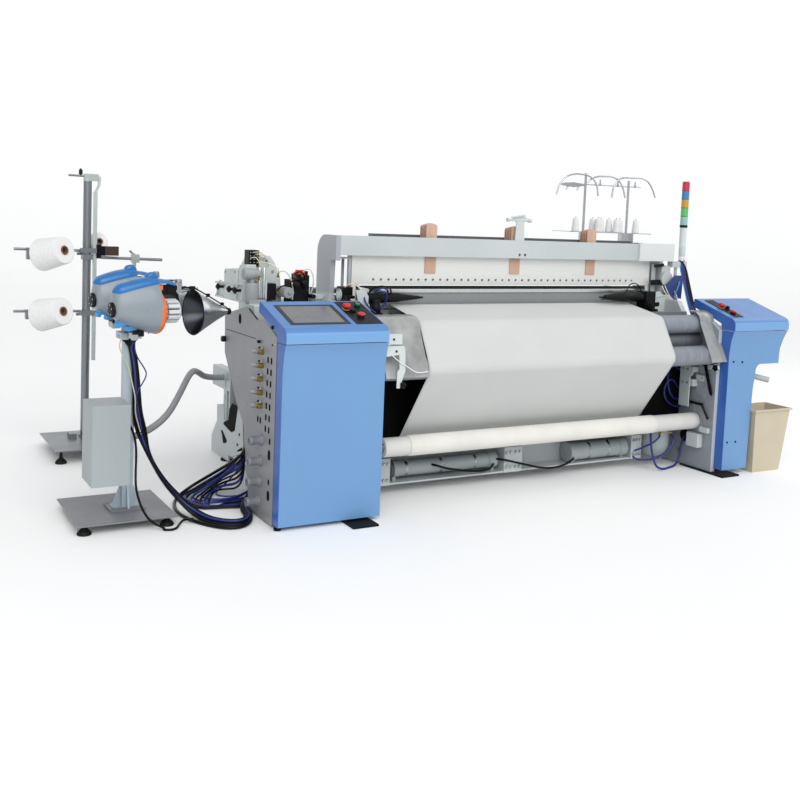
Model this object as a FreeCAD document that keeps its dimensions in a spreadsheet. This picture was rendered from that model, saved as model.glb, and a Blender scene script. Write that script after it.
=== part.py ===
import FreeCAD
import Part
import math
import os
import sys
from FreeCAD import Vector as V, Placement, Rotation

# Air-jet power loom, 190 cm reed width, with its weft feeders, yarn stand, selvage bobbins and waste bin.
# Working frame: X to the right along the warp beam, Y from the weaver's side to the back, Z up, millimetres.
# The pieces are drawn with X = 0 midway between the side frames and Y = 0 near the cabinet fronts;
# every finished piece is then shifted so that the origin is the middle of the base.

os.makedirs("parts", exist_ok=True)
doc = FreeCAD.newDocument("loom")
sheet = doc.addObject("Spreadsheet::Sheet", "dims")

CELLS = {
    "shift_x": 458.04, "shift_y": -1085.67,
    "frame_in": 1250.0, "plate_thick": 40.0, "frame_front": 42.0, "frame_base": 12.0,
    "cloth_left": -962.0, "cloth_width": 1814.0, "cloth_thick": 1.5,
    "breast_r": 60.0, "breast_y": 187.0, "breast_z": 981.0,
    "takeup_r": 63.0, "takeup_y": 80.0, "takeup_z": 787.0,
    "press_r": 48.0, "press_y": 222.0, "press_z": 868.0,
    "roll_r": 58.0, "roll_y": 200.0, "roll_z": 327.0, "core_r": 54.0,
    "guide_r": 24.0, "guide_y": 306.0, "guide_z": 324.0,
    "beam_y": 1330.0, "beam_z": 500.0, "yarn_r": 300.0, "flange_r": 400.0, "beam_core": 75.0,
    "backrest_y": 1545.0, "backrest_z": 1005.0, "backrest_r": 70.0,
    "journal_r": 24.9, "bore_r": 25.0,
    "beam_journal": 39.9, "beam_bore": 40.0,
    "topbeam_y": 603.0, "topbeam_depth": 40.0, "topbeam_low": 1374.0, "topbeam_high": 1488.0,
    "heald_y": 650.0, "heald_pitch": 18.0, "heald_thick": 10.0,
    "heald_left": -1137.0, "heald_width": 2324.0, "heald_low": 800.0, "rail_low": 1200.0, "rail_high": 1388.0,
    "hole_first": -992.0, "hole_pitch": 51.8, "hole_r": 8.0, "hole_z": 1231.0,
    "sley_y": 570.0, "sley_z": 640.0, "sley_r": 55.0,
    "cab_left": -1842.0, "cab_right": -1260.0, "cab_front": -28.0, "nose": -64.0,
    "rcab_left": 1280.0, "rcab_right": 1788.0,
    "cab_low": 22.0, "rcab_low": 34.0, "seam_z": 957.0, "sheet_thick": 3.0,
    "tower_x": 1452.0, "tower_y": 600.0, "tower_r": 26.0, "tower_low": 1414.0, "tower_high": 1933.0,
    "post_w": 56.0, "stand_base_z": 52.0, "plate_t": 12.0,
    "cone_r": 117.0, "cone_len": 196.0, "feeder_z": 1082.0,
    "hose_r": 19.0, "bundle_r": 11.0, "blue_r": 8.0,
}
for i, (k, v) in enumerate(CELLS.items(), start=1):
    sheet.set("A%d" % i, k)
    sheet.set("B%d" % i, str(v))
    sheet.setAlias("B%d" % i, k)
D = CELLS
doc.recompute()

counter = [0]


def uid(word):
    counter[0] += 1
    return "%s_%03d" % (word, counter[0])


def isnum(v):
    return isinstance(v, (int, float))


def bind(o, prop, v):
    if isnum(v):
        setattr(o, prop, v)
    else:
        o.setExpression(prop, v)


def seat(o, x, y, z, rot=None):
    """Placement with each coordinate a number or an expression of the sheet."""
    o.Placement = Placement(V(*[c if isnum(c) else 0 for c in (x, y, z)]), rot or Rotation())
    for axis, c in zip("xyz", (x, y, z)):
        if not isnum(c):
            o.setExpression("Placement.Base." + axis, c)
    return o


def span(a, b):
    return b - a if isnum(a) and isnum(b) else "(%s) - (%s)" % (b, a)


def box(x0, x1, y0, y1, z0, z1):
    o = doc.addObject("Part::Box", uid("block"))
    bind(o, "Length", span(x0, x1))
    bind(o, "Width", span(y0, y1))
    bind(o, "Height", span(z0, z1))
    return seat(o, x0, y0, z0)


def cyl(x, y, z, r, h, d=(0, 0, 1)):
    o = doc.addObject("Part::Cylinder", uid("round"))
    bind(o, "Radius", r)
    bind(o, "Height", h)
    return seat(o, x, y, z, Rotation(V(0, 0, 1), V(*d)))


def cone(x, y, z, r1, r2, h, d=(0, 0, 1)):
    o = doc.addObject("Part::Cone", uid("taper"))
    bind(o, "Radius1", r1)
    bind(o, "Radius2", r2)
    bind(o, "Height", h)
    return seat(o, x, y, z, Rotation(V(0, 0, 1), V(*d)))


def ball(x, y, z, r):
    o = doc.addObject("Part::Sphere", uid("ball"))
    bind(o, "Radius", r)
    return seat(o, x, y, z)


def origin_plane(body, role):
    for f in body.Origin.OriginFeatures:
        if f.Role == role:
            return f
    raise RuntimeError(role)


def edges_of(pts):
    """pts: (u, v) corners; a tuple (u, v, 'arc', mu, mv) draws an arc to that corner through (mu, mv)."""
    out = []
    n = len(pts)
    for i in range(n):
        a, b = pts[i], pts[(i + 1) % n]
        pa, pb = V(a[0], a[1], 0), V(b[0], b[1], 0)
        if (pa - pb).Length < 1e-6:
            continue
        if len(b) > 2:
            out.append(Part.Arc(pa, V(b[3], b[4], 0), pb))
        else:
            out.append(Part.LineSegment(pa, pb))
    return out


def sketch_on(body, role, loops):
    sk = body.newObject("Sketcher::SketchObject", uid("outline"))
    sk.AttachmentSupport = [(origin_plane(body, role), "")]
    sk.MapMode = "FlatFace"
    for loop in loops:
        sk.addGeometry(edges_of(loop), False)
    return sk


def prism(plane, at, thick, *loops):
    """A padded outline. plane YZ: outline (y, z), padded along +X from x = at; XZ: (x, z) along +Y; XY: (x, y) along +Z."""
    body = doc.addObject("PartDesign::Body", uid("plate"))
    sk = sketch_on(body, plane + "_Plane", loops)
    pad = body.newObject("PartDesign::Pad", uid("pad"))
    pad.Profile = sk
    bind(pad, "Length", thick)
    if plane == "XZ":
        pad.Reversed = True
    body.Tip = pad
    if plane == "YZ":
        seat(body, at, 0, 0)
    elif plane == "XZ":
        seat(body, 0, at, 0)
    else:
        seat(body, 0, 0, at)
    return body


def turned(pts, x, y, z, d=(0, 0, 1)):
    """A revolved outline of (radius, height) corners about the line through (x, y, z) along d."""
    body = doc.addObject("PartDesign::Body", uid("turned"))
    sk = sketch_on(body, "XZ_Plane", [pts])
    rev = body.newObject("PartDesign::Revolution", uid("turn"))
    rev.Profile = sk
    rev.ReferenceAxis = (sk, ["V_Axis"])
    rev.Angle = 360.0
    body.Tip = rev
    return seat(body, x, y, z, Rotation(V(0, 0, 1), V(*d)))


def fuse(items):
    items = list(items)
    if len(items) == 1:
        return items[0]
    o = doc.addObject("Part::MultiFuse", uid("joined"))
    o.Shapes = items
    return o


def chain(items):
    """Pieces joined one after another, for sets that one joint operation can't resolve."""
    o = items[0]
    for other in items[1:]:
        f = doc.addObject("Part::Fuse", uid("link"))
        f.Base = o
        f.Tool = other
        o = f
    return o


def cut(base, tools):
    tools = list(tools)
    if not tools:
        return base
    o = doc.addObject("Part::Cut", uid("cutout"))
    o.Base = base
    o.Tool = fuse(tools)
    return o


NODES = []


def node(label, items, holes=()):
    o = cut(fuse(items), holes)
    o.Label = label
    NODES.append(o)
    return o


def route(points):
    """Straight runs joined by tangent arcs: (edges, radii)."""
    P = [V(*p) for p in points]
    runs = [(P[i + 1] - P[i]).Length for i in range(len(P) - 1)]
    edges, radii, last = [], [], P[0]
    for i in range(1, len(P) - 1):
        a = (P[i] - P[i - 1]).normalize()
        b = (P[i + 1] - P[i]).normalize()
        turn = math.acos(max(-1, min(1, a.dot(b))))
        if turn < 1e-4:
            raise RuntimeError("three route points in a row: %s" % (points[i],))
        back = 0.45 * min(runs[i - 1], runs[i])
        rad = back / math.tan(turn / 2)
        radii.append(rad)
        s, e = P[i] - a * back, P[i] + b * back
        mid = P[i] + ((b - a).normalize()) * (rad / math.cos(turn / 2) - rad)
        edges.append(Part.LineSegment(last, s).toShape())
        edges.append(Part.Arc(s, mid, e).toShape())
        last = e
    edges.append(Part.LineSegment(last, P[-1]).toShape())
    return edges, radii


def tube_shape(points, r):
    edges, radii = route(points)
    wire = Part.Wire(edges)
    d = V(*points[1]) - V(*points[0])
    disc = Part.Wire([Part.Circle(V(*points[0]), d, r).toShape()])
    shape = wire.makePipeShell([disc], True, False)
    return shape, wire.Length, radii


def tube(word, points, r):
    """A round tube or rod along a route, as a plain feature."""
    shape, length, radii = tube_shape(points, r)
    o = doc.addObject("Part::Feature", uid(word))
    o.Shape = shape
    ideal = math.pi * r * r * length
    if abs(shape.Volume / ideal - 1) > 0.01:
        raise RuntimeError("%s: tube volume %.3f of ideal" % (word, shape.Volume / ideal))
    return o, length, radii


def cord_node(label, points, cell):
    r = D[cell]
    o, length, radii = tube(label, points, r)
    print("cord %s length %.0f mm, diameter %.0f, smallest radius %.0f (%.1f d), largest turn %s" % (
        label, length, 2 * r, min(radii) if radii else 0, min(radii) / (2 * r) if radii else 0, len(points)))
    o.Label = label
    NODES.append(o)
    return o


def rod(a, b, r):
    a, b = V(*a), V(*b)
    d = b - a
    return cyl(a.x, a.y, a.z, r, d.Length, (d.x, d.y, d.z))


def ring_pipe(cx, cy, cz, big, small):
    o = doc.addObject("Part::Torus", uid("ring"))
    o.Radius1 = big
    o.Radius2 = small
    return seat(o, cx, cy, cz, Rotation(V(0, 0, 1), V(0, 1, 0)))


# ---------------------------------------------------------------- side frames (cast plates with an outer rib box)
def side_outline():
    return [(42, 12), (700, 12), (1700, 12), (1728, 60), (1728, 420), (1680, 900), (1600, 1090), (1500, 1090),
            (1430, 930), (1120, 1000), (985, 1110), (430, 1110), (350, 1000), (110, 1000), (42, 952)]


def windows():
    return [[(470, 170), (1000, 170), (1000, 330), (900, 470), (470, 470)],
            [(1090, 60), (1560, 60), (1560, 110), (1090, 110)]]


def bores(at, thick):
    """Journal holes through one plate: rollers, sley shaft, warp beam, back rest."""
    h = []
    for y, z, r in (("dims.breast_y", "dims.breast_z", "dims.bore_r"), ("dims.takeup_y", "dims.takeup_z", "dims.bore_r"),
                    ("dims.press_y", "dims.press_z", "dims.bore_r"), ("dims.sley_y", "dims.sley_z", "dims.beam_bore"),
                    ("dims.roll_y", "dims.roll_z", "dims.bore_r"),
                    ("dims.beam_y", "dims.beam_z", "dims.beam_bore"), ("dims.backrest_y", "dims.backrest_z", "dims.bore_r")):
        h.append(cyl(at, y, z, r, thick, (1, 0, 0)))
    return h


left_plate = prism("YZ", "-dims.frame_in - dims.plate_thick", "dims.plate_thick", side_outline(), *windows())
left_ribs = [box(-1600, -1289, 440, 1400, 60, 84), box(-1600, -1289, 440, 1400, 560, 584),
             box(-1600, -1289, 440, 462, 80, 565), box(-1600, -1289, 1040, 1062, 80, 565), box(-1600, -1289, 1378, 1400, 80, 565),
             box(-1600, -1556, 1440, 1500, 12, 560), box(-1600, -1289, 1470, 1492, 300, 420), box(-1600, -1540, 1390, 1720, 460, 590)]
gusset = prism("YZ", -1600, 12, [(1500, 60), (1716, 60), (1716, 120), (1560, 300), (1500, 330)])
left_ribs += [gusset, box(-1600, -1588, 1390, 1716, 12, 62), cyl(-1598, 1450, 545, 26, 22, (-1, 0, 0))]
node("left_side_frame", [left_plate] + left_ribs,
     bores(-1300, 60) + [box(-1602, -1553, 1462, 1476, 480, 520), box(-1602, -1553, 1462, 1476, 380, 430),
                         box(-1602, -1535, 1600, 1614, 500, 545)])

right_plate = prism("YZ", "dims.frame_in", "dims.plate_thick", side_outline(), *windows())
right_ribs = [box(1289, 1600, 440, 1400, 60, 84), box(1289, 1600, 440, 1400, 560, 584),
              box(1289, 1600, 440, 462, 80, 565), box(1289, 1600, 1040, 1062, 80, 565), box(1289, 1600, 1378, 1400, 80, 565),
              box(1556, 1600, 1440, 1500, 12, 560), box(1289, 1600, 1470, 1492, 300, 420)]
# electrical case of the right cabinet, standing on the frame
right_case = [box(1300, 1500, 60, 400, 60, 940), box(1300, 1776, 60, 400, 742, 940)]
right_case_in = [box(1303, 1497, 63, 397, 63, 937), box(1303, 1773, 63, 397, 745, 937)]
right_case_solid = cut(fuse(right_case), [fuse(right_case_in)])
case_links = [box(1288, 1302, 120, 300, 400, 500), box(1288, 1302, 120, 300, 760, 860)]
# selvage waste spout, leaving the case above the bin
spout_body = cut(rod((1520, 210, 662), (1700, -6, 612), 19), [rod((1510, 222, 664.8), (1712, -20.4, 608.7), 16)])
spout = [spout_body, box(1497, 1530, 190, 250, 640, 690)]

# ---------------------------------------------------------------- cross beams
front_beam = [box("-dims.frame_in", "dims.frame_in", 470, 482, 70, 222),
              box("-dims.frame_in", 921, 352, 472, 64, 74),
              box("-dims.frame_in", 921, 420, 472, 214, 224)]
front_beam += [box(a, b, 346, 354, 64, 222) for a, b in ((-1057, -997), (-196, -62), (832, 921))]
front_beam += [box(a, b, 352, 472, 64, 222) for a, b in ((-1000, -994), (-196, -190), (-68, -62), (832, 838))]
rear_beam = [cyl("-dims.frame_in", 850, 270, 84, "2 * dims.frame_in", (1, 0, 0)),
             box("-dims.frame_in", "dims.frame_in", 1600, 1690, 30, 96)]
guide_bar = cyl("-dims.frame_in", "dims.guide_y", "dims.guide_z", "dims.guide_r", "2 * dims.frame_in", (1, 0, 0))
node("cross_beams", front_beam + rear_beam + [guide_bar],
     [cyl("-dims.frame_in - 5", 850, 270, 74, "2 * dims.frame_in + 10", (1, 0, 0)),
      box("-dims.frame_in - 5", "dims.frame_in + 5", 1608, 1682, 38, 88)]
     + [cyl(x, 340, z, 5, 20, (0, 1, 0)) for x in (-176, -82) for z in (110,)])

# ---------------------------------------------------------------- feet
feet = [box(-1464, -1316, -128, 420, 0, 11.5), box(-1300, -1232, 300, 420, 0, 12), box(-1400, -1232, 300, 420, 0, 11),
        box(1236, 1392, -78, 300, 0, 12),
        cyl(-1828, 8, 0, 19, 10), cyl(-1828, 8, 8, 9, 7.1), box(-1838.9, -1800, 0, 120, 15, 21.7), box(-1838, -1800, 60, 120, 21.7, 30)]
for x in (-1270, 1270):
    feet += [cyl(x, 1640, 0, 52, 12)]
for x in (-1578, 1578):
    feet += [cyl(x, 1470, 0, 40, 12)]


def rubber_foot(x, y, top):
    return turned([(0, 0), (34, 0), (36, 6), (30, 18), (16, 30), (10, 42), (9, top), (0, top)], x, y, 0)


for x, y in ((-2720, 300), (-2310, 300), (-2685, 740), (-2310, 740)):
    feet.append(rubber_foot(x, y, 46))
for x, y in ((-2560, 1740), (-2170, 1740), (-2480, 2220), (-2170, 2220)):
    feet.append(rubber_foot(x, y, 79))
node("levelling_feet", feet)

# ---------------------------------------------------------------- left panel, fittings, cabinet
panel = prism("YZ", "dims.cab_left", "dims.sheet_thick",
              [(50, 12), (372, 12), (492, 450), (611, 553), (818, 801), (830, 1017), (790, 1030), (476, 1094), (328, 1046), (229, 1039),
               (170, 1028), (52, 977)])
panel_fold = prism("XZ", 803, 3, [(-1842, 801), (-1812, 801), (-1812, 1020), (-1842, 1020)])
panel_base = box(-1840, -1800, 50, 372, 12, 15)
slots = []
for k in range(7):
    z = 850 - 60 * k
    y = 160 + (1.8 * k)
    slots += [box(-1850, -1830, y - 6, y + 6, z - 16, z + 16), box(-1850, -1830, y - 52, y - 40, z - 16, z + 16)]
slots += [box(-1850, -1830, 274, 286, 504, 536), box(-1850, -1830, 238, 250, 504, 536),
          box(-1850, -1830, 102, 114, 420, 450), cyl(-1850, 111, 374, 15, 20, (1, 0, 0)), cyl(-1850, 111, 354, 15, 20, (1, 0, 0)),
          box(-1850, -1830, 96, 126, 354, 374), box(-1850, -1830, 103, 115, 210, 236),
          cyl(-1850, 109, 142, 15, 20, (1, 0, 0)), cyl(-1850, 109, 162, 15, 20, (1, 0, 0)), box(-1850, -1830, 94, 124, 142, 162),
          cyl(-1850, 584, 1008, 17, 20, (1, 0, 0)), cyl(-1850, 584, 1024, 17, 20, (1, 0, 0)), box(-1850, -1830, 567, 601, 1008, 1024)]
panel_posts = [box(-1839.5, -1800, 700, 740, 760, 800)]
node("left_side_panel", [panel, panel_fold, panel_base] + panel_posts, slots)

fit = []
for k in range(5):
    z = 884 - 70.5 * k
    fit += [cyl(-1843, 232, z, 13, 42, (-1, 0, 0)), cyl(-1884, 232, z, 11, 36, (-1, 0, 0)), cyl(-1842, 232, z, 8, 6, (-1, 0, 0))]
for y, z in ((214, 423), (226, 310), (232, 201), (236, 93)):
    fit += [cone(-1842, y, z, 34, 24, 18, (-1, 0, 0)), cyl(-1858, y, z, 22, 58, (-1, 0, 0)), cyl(-1914, y, z, 25, 10, (-1, 0, 0))]
node("air_fittings", fit)

node("left_control_box",
     [cut(box(-1836, -1290, 52, 330, 30, 950), [box(-1833, -1293, 55, 327, 33, 947)])])


def front_profile(low, top, back):
    """Side profile of a blue front: straight below, swelling forward to the nose line at its top edge."""
    return [(-28, low), (-28, 760), (-35, 860, "arc", -29.6, 811), (-60, top, "arc", -45, 912), (back, top), (back, low)]


def inner_profile(low, top, back):
    return [(-25, low + 3), (-25, 760), (-32, 861, "arc", -26.6, 811), (-56.5, top - 3, "arc", -42, 912), (back + 30, top - 3), (back + 30, low + 3)]


door = cut(prism("YZ", "dims.cab_left", "dims.cab_right - dims.cab_left", front_profile(22, 953, 41)),
           [prism("YZ", "dims.cab_left + dims.sheet_thick", "dims.cab_right - dims.cab_left - 2 * dims.sheet_thick", inner_profile(22, 953, 41))])
node("left_cabinet_door", [door])


def console_profile():
    return [(-64, 957), (-64, 988), (-20, 1040, "arc", -54, 1022), (288, 1135), (303, 1130, "arc", 298, 1136), (306, 1082),
            (150, 1033), (54, 996), (44, 957)]


def console_inner():
    return [(-60, 950), (-60, 987), (-18.5, 1035.5, "arc", -50.5, 1019), (287, 1130.5), (299, 1127), (301, 1060),
            (160, 1020), (64, 990), (48, 950)]


SLOPE = math.atan2(95.0, 308.0)
NORM = (0, -math.sin(SLOPE), math.cos(SLOPE))


def slope_point(x, y, lift=0.0):
    z = 1040 + (y + 20) * 95.0 / 308.0
    return (x, y + NORM[1] * lift, z + NORM[2] * lift)


def slope_block(x0, x1, y0, y1, low, high):
    """A block lying on the sloped console top, from low to high above it, between y0 and y1 measured on the plan."""
    def pt(y, h):
        p = slope_point(0, y, h)
        return (p[1], p[2])
    return prism("YZ", x0, x1 - x0, [pt(y0, low), pt(y1, low), pt(y1, high), pt(y0, high)])


def console(x0, x1, y_end):
    outer = prism("YZ", x0, x1 - x0, console_profile())
    inner = prism("YZ", x0 + 4, x1 - x0 - 8, console_inner())
    return cut(outer, [inner])


node("left_console", [console(-1842, -1262, 300), box(-1838, -1266, 296, 303, 1080, 1100)],
     [slope_block(-1788, -1452, 2, 246, -12, 20), slope_block(-1424, -1268, -4, 282, -12, 20)])
node("touch_screen", [slope_block(-1787.7, -1452.3, 2.3, 245.7, -14, 2)], [slope_block(-1764, -1476, 22, 228, 0.8, 5)])


def button_hole(x, y, r):
    p = slope_point(x, y, -30)
    return cyl(p[0], p[1], p[2], r, 60, NORM)


L_STOP, L_GREEN, L_RED = (-1398, 178), (-1313, 218), (-1356, 84)
R_STOP, R_BLACK, R_RED = (1352, 132), (1388, 112), (1366, 40)
left_panel_solid = [slope_block(-1423.7, -1268.3, -3.7, 281.7, -6, 1.5)]
for bx, by in (L_STOP, L_GREEN, L_RED):
    p = slope_point(bx, by, 1)
    left_panel_solid.append(cyl(p[0], p[1], p[2], 20 if (bx, by) == L_STOP else 17, 9 if (bx, by) == L_STOP else 6, NORM))
p = slope_point(-1378, 150, 1)
left_panel_solid.append(cyl(p[0], p[1], p[2], 13, 14, NORM))
right_panel_solid = [slope_block(1334, 1410, -10, 262, -0.0, 3)]
for bx, by in (R_STOP, R_BLACK, R_RED):
    p = slope_point(bx, by, 2.5)
    right_panel_solid.append(cyl(p[0], p[1], p[2], 20 if (bx, by) == R_STOP else 15, 9 if (bx, by) == R_STOP else 6, NORM))
node("switch_panels", left_panel_solid + right_panel_solid,
     [button_hole(x, y, 8.4) for x, y in (L_STOP, L_GREEN, L_RED, R_STOP, R_BLACK, R_RED)])


def mushroom(label, x, y, base, r, h, stem, flat=False):
    p = slope_point(x, y, base)
    if flat:
        prof = [(0, -stem), (8, -stem), (8, 0), (r, 0), (r, h - 1.5), (r - 1.5, h, "arc", r - 0.44, h - 0.44), (0, h)]
    else:
        prof = [(0, -stem), (8, -stem), (8, 0), (r * 0.72, 0), (r, h * 0.34, "arc", r * 0.95, h * 0.1), (r * 0.8, h * 0.86, "arc", r * 0.97, h * 0.66),
                (3, h, "arc", r * 0.45, h * 0.965), (0, h)]
    node(label, [turned(prof, p[0], p[1], p[2], NORM)])


mushroom("left_stop_button", L_STOP[0], L_STOP[1], 17, 22, 20, 24)
mushroom("left_green_button", L_GREEN[0], L_GREEN[1], 13, 14, 7, 20, True)
mushroom("left_red_button", L_RED[0], L_RED[1], 13, 21, 12, 20)
mushroom("right_stop_button", R_STOP[0], R_STOP[1], 18.5, 22, 20, 17)
mushroom("right_black_button", R_BLACK[0], R_BLACK[1], 14.5, 13, 9, 13, True)
mushroom("right_red_button", R_RED[0], R_RED[1], 14.5, 19, 12, 13)

right_L = [(1505, 20), (1523, 560), (1540, 690), (1577, 729, "arc", 1553, 716), (1760, 729), (1900, 729), (1900, 20)]
cover_outer = cut(prism("YZ", "dims.rcab_left", "dims.rcab_right - dims.rcab_left", front_profile(34, 953, 42)),
                  [prism("XZ", -80, 200, right_L), prism("XZ", -80, 200, [(1754, 700), (1900, 700), (1900, 953.5), (1788, 953.5), (1756, 830)])])
cover_inner = fuse([prism("YZ", 1283, 219, inner_profile(34, 953, 42)),
                    cut(prism("YZ", 1490, 280, [(-25, 732), (-25, 760), (-32, 861, "arc", -26.6, 811), (-56.5, 950, "arc", -42, 912), (85, 950), (85, 732)]),
                        [prism("XZ", -80, 200, [(1751, 700), (1900, 700), (1900, 953.5), (1785, 953.5), (1753, 830)])])])
node("right_cabinet_cover", [cut(cover_outer, [cover_inner])])
node("right_console", [console(1280, 1788, 300), box(1284, 1784, 296, 303, 1080, 1100)],
     [button_hole(x, y, 8.4) for x, y in (R_STOP, R_BLACK, R_RED)])

# ---------------------------------------------------------------- arches, top beam, rail
arch_out = [(679, 1110), (667, 1342), (603, 1342), (603, 1488), (755, 1488), (861, 1382, "arc", 830, 1457), (861, 1110)]
arches = []
for x0 in (-1265, 1235):
    arches += [prism("YZ", x0, 30, arch_out), box(x0 - 5, x0 + 35, 670, 875, 1110, 1128)]
# upright heald guides at each end, hung from the arches
arches += [box(1200, 1235.5, 640, 644, 1010, 1352), box(1200, 1235.5, 724, 736, 1010, 1352), box(1225, 1236, 640, 736, 1010, 1352),
           box(-1166, -1150, 634, 642, 1010, 1352), box(-1166, -1150, 724, 732, 1010, 1352), box(-1236, -1150, 634, 732, 1352, 1360)]
node("top_beam",
     [box(-1235, 1235, "dims.topbeam_y", "dims.topbeam_y + 5", "dims.topbeam_low", "dims.topbeam_high"),
      box(-1235, 1235, "dims.topbeam_y", "dims.topbeam_y + dims.topbeam_depth", "dims.topbeam_low", "dims.topbeam_low + 5"),
      box(-1235, 1235, "dims.topbeam_y", "dims.topbeam_y + dims.topbeam_depth", "dims.topbeam_high - 5", "dims.topbeam_high"),
      box(-1235, 1235, "dims.topbeam_y + dims.topbeam_depth - 4", "dims.topbeam_y + dims.topbeam_depth", "dims.topbeam_low", "dims.topbeam_low + 30"),
      box(1030, 1350, 585, 603, 1372, 1493), box(1265, 1350, 603, 640, 1372, 1480),
      box(-1235, 1235, 730, 775, 1440, 1474), box(-968, 1086, 735, 780, 1472, 1502)],
     [cyl(32, 600, 1396, 9, 10, (0, 1, 0)), cyl(75, 600, 1396, 9, 10, (0, 1, 0))])

slats = []
for x0 in (-642, -11, 611):
    for k, y in enumerate((643, 661, 679, 697, 715.5)):
        t = 5.5 if k in (0, 4) else 6
        top = 1577 - 3 * k
        slats.append(prism("XZ", y, t, [(x0, 1272), (x0 + 76, 1272), (x0 + 76, top - 34), (x0 + 60, top - 6, "arc", x0 + 72, top - 15),
                                        (x0 + 16, top, "arc", x0 + 38, top - 1), (x0, top - 16, "arc", x0 + 4.5, top - 5)]))
    slats += [cyl(x0 + 38, 641, 1500, 6, 92, (0, 1, 0)), cyl(x0 + 38, 641, 1545, 6, 92, (0, 1, 0)),
              box(x0 + 18, x0 + 58, 721, 730, 1460, 1560)]
node("heald_guides", slats +
     [prism("XZ", 612, 8, [(-2, 1488), (70, 1488), (62, 1600), (88, 1630), (70, 1640), (20, 1640), (-20, 1628), (4, 1600)]),
      box(8, 60, 612, 645, 1488, 1494), rod((-62, 616, 1617), (112, 616, 1615), 7), rod((-70, 616, 1617), (-52, 616, 1617), 12),
      rod((96, 616, 1615), (118, 616, 1615), 12), rod((-40, 606, 1632), (60, 606, 1648), 6)])

# ---------------------------------------------------------------- heald frames
for k in range(4):
    y = "dims.heald_y + %d * dims.heald_pitch" % k
    y2 = y + " + dims.heald_thick"
    xl, xr = "dims.heald_left", "dims.heald_left + dims.heald_width"
    parts = [box(xl, xr, y, y2, "dims.rail_low", "dims.rail_high"), box(xl, xr, y, y2, "dims.heald_low", "dims.heald_low + 90"),
             box(xl, xl + " + 30", y, y2, "dims.heald_low", "dims.rail_high"), box(xr + " - 30", xr, y, y2, "dims.heald_low", "dims.rail_high"),
             box(xl + " + 20", xr + " - 20", y + " + 4", y + " + 6", 1176, 1190), box(xl + " + 20", xr + " - 20", y + " + 4", y + " + 6", 904, 918)]
    holes = []
    for j in range(40):
        holes.append(cyl("dims.hole_first + %d * dims.hole_pitch" % j, y + " - 1", "dims.hole_z", "dims.hole_r", "dims.heald_thick + 2", (0, 1, 0)))
    node("heald_frame_%d" % (k + 1), parts, holes)

# ---------------------------------------------------------------- sley, reed, nozzles
sley = [cyl(-1240, "dims.sley_y", "dims.sley_z", "dims.sley_r", 2480, (1, 0, 0)),
        cyl(-1289, "dims.sley_y", "dims.sley_z", "dims.beam_journal", 2578, (1, 0, 0)),
        box(-1010, 935, 512, 552, 1000, 1062)]
for x in (-900, -460, -20, 420, 860):
    sley.append(prism("YZ", x, 22, [(530, 640), (610, 640), (560, 1000), (552, 1030), (512, 1030), (512, 1000)]))
node("sley", sley)
node("reed", [box(-1006, 930, 520, 530, 1062, 1166), box(-1010, 935, 512, 538, 1164, 1184), box(-1010, 935, 530, 540, 1062, 1078)])
noz = [box(-1060, -1010, 512, 552, 1010, 1050), cyl(-1225, 500, 1112, 9, 215, (1, 0, 0)), cone(-1012, 500, 1112, 9, 4, 30, (1, 0, 0)),
       box(-1130, -1050, 490, 512, 1040, 1120), box(-1062, -1050, 490, 520, 1016, 1050)]
for k in range(22):
    noz += [cyl(-950 + 84 * k, 507, 1040, 4, 52), box(-958 + 84 * k, -942 + 84 * k, 500, 512, 1020, 1044)]
node("weft_nozzles", noz)

# ---------------------------------------------------------------- temples on their bar
tb = [box(-1249.9, 1249.9, 335, 375, 1000, 1046)]
tl = [cyl(-1120, 438, 1142, 27, 160, (1, 0, 0)), cone(-962, 438, 1142, 27, 9, 168, (1, 0, 0)), cyl(-795, 438, 1142, 6, 22, (1, 0, 0)),
      box(-1150, -1090, 400, 470, 1110, 1172), cyl(-1108, 388, 1040, 26, 92), box(-1135, -1080, 352, 440, 1040, 1062), box(-1126, -1090, 400, 440, 1060, 1112)]
tr = [cyl(760, 438, 1138, 30, 190, (1, 0, 0)), cone(762, 438, 1138, 30, 14, 150, (-1, 0, 0)), cyl(613, 438, 1138, 5, 40, (-1, 0, 0)),
      cyl(613, 430, 1128, 4, 34, (-1, 0.1, -0.1)), box(930, 1012, 392, 478, 1062, 1176), cyl(946, 384, 1094, 26, 20, (0, 1, 0)),
      box(950, 1000, 350, 440, 1040, 1064)]
node("temples", tb + tl + tr)


# ---------------------------------------------------------------- rollers and beams
def roller(label, y, z, r, x0, x1, jr="dims.journal_r", jx=1288.0):
    node(label, [cyl(x0, y, z, r, x1 - x0, (1, 0, 0)), cyl(-jx, y, z, jr, 2 * jx, (1, 0, 0))])


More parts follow.
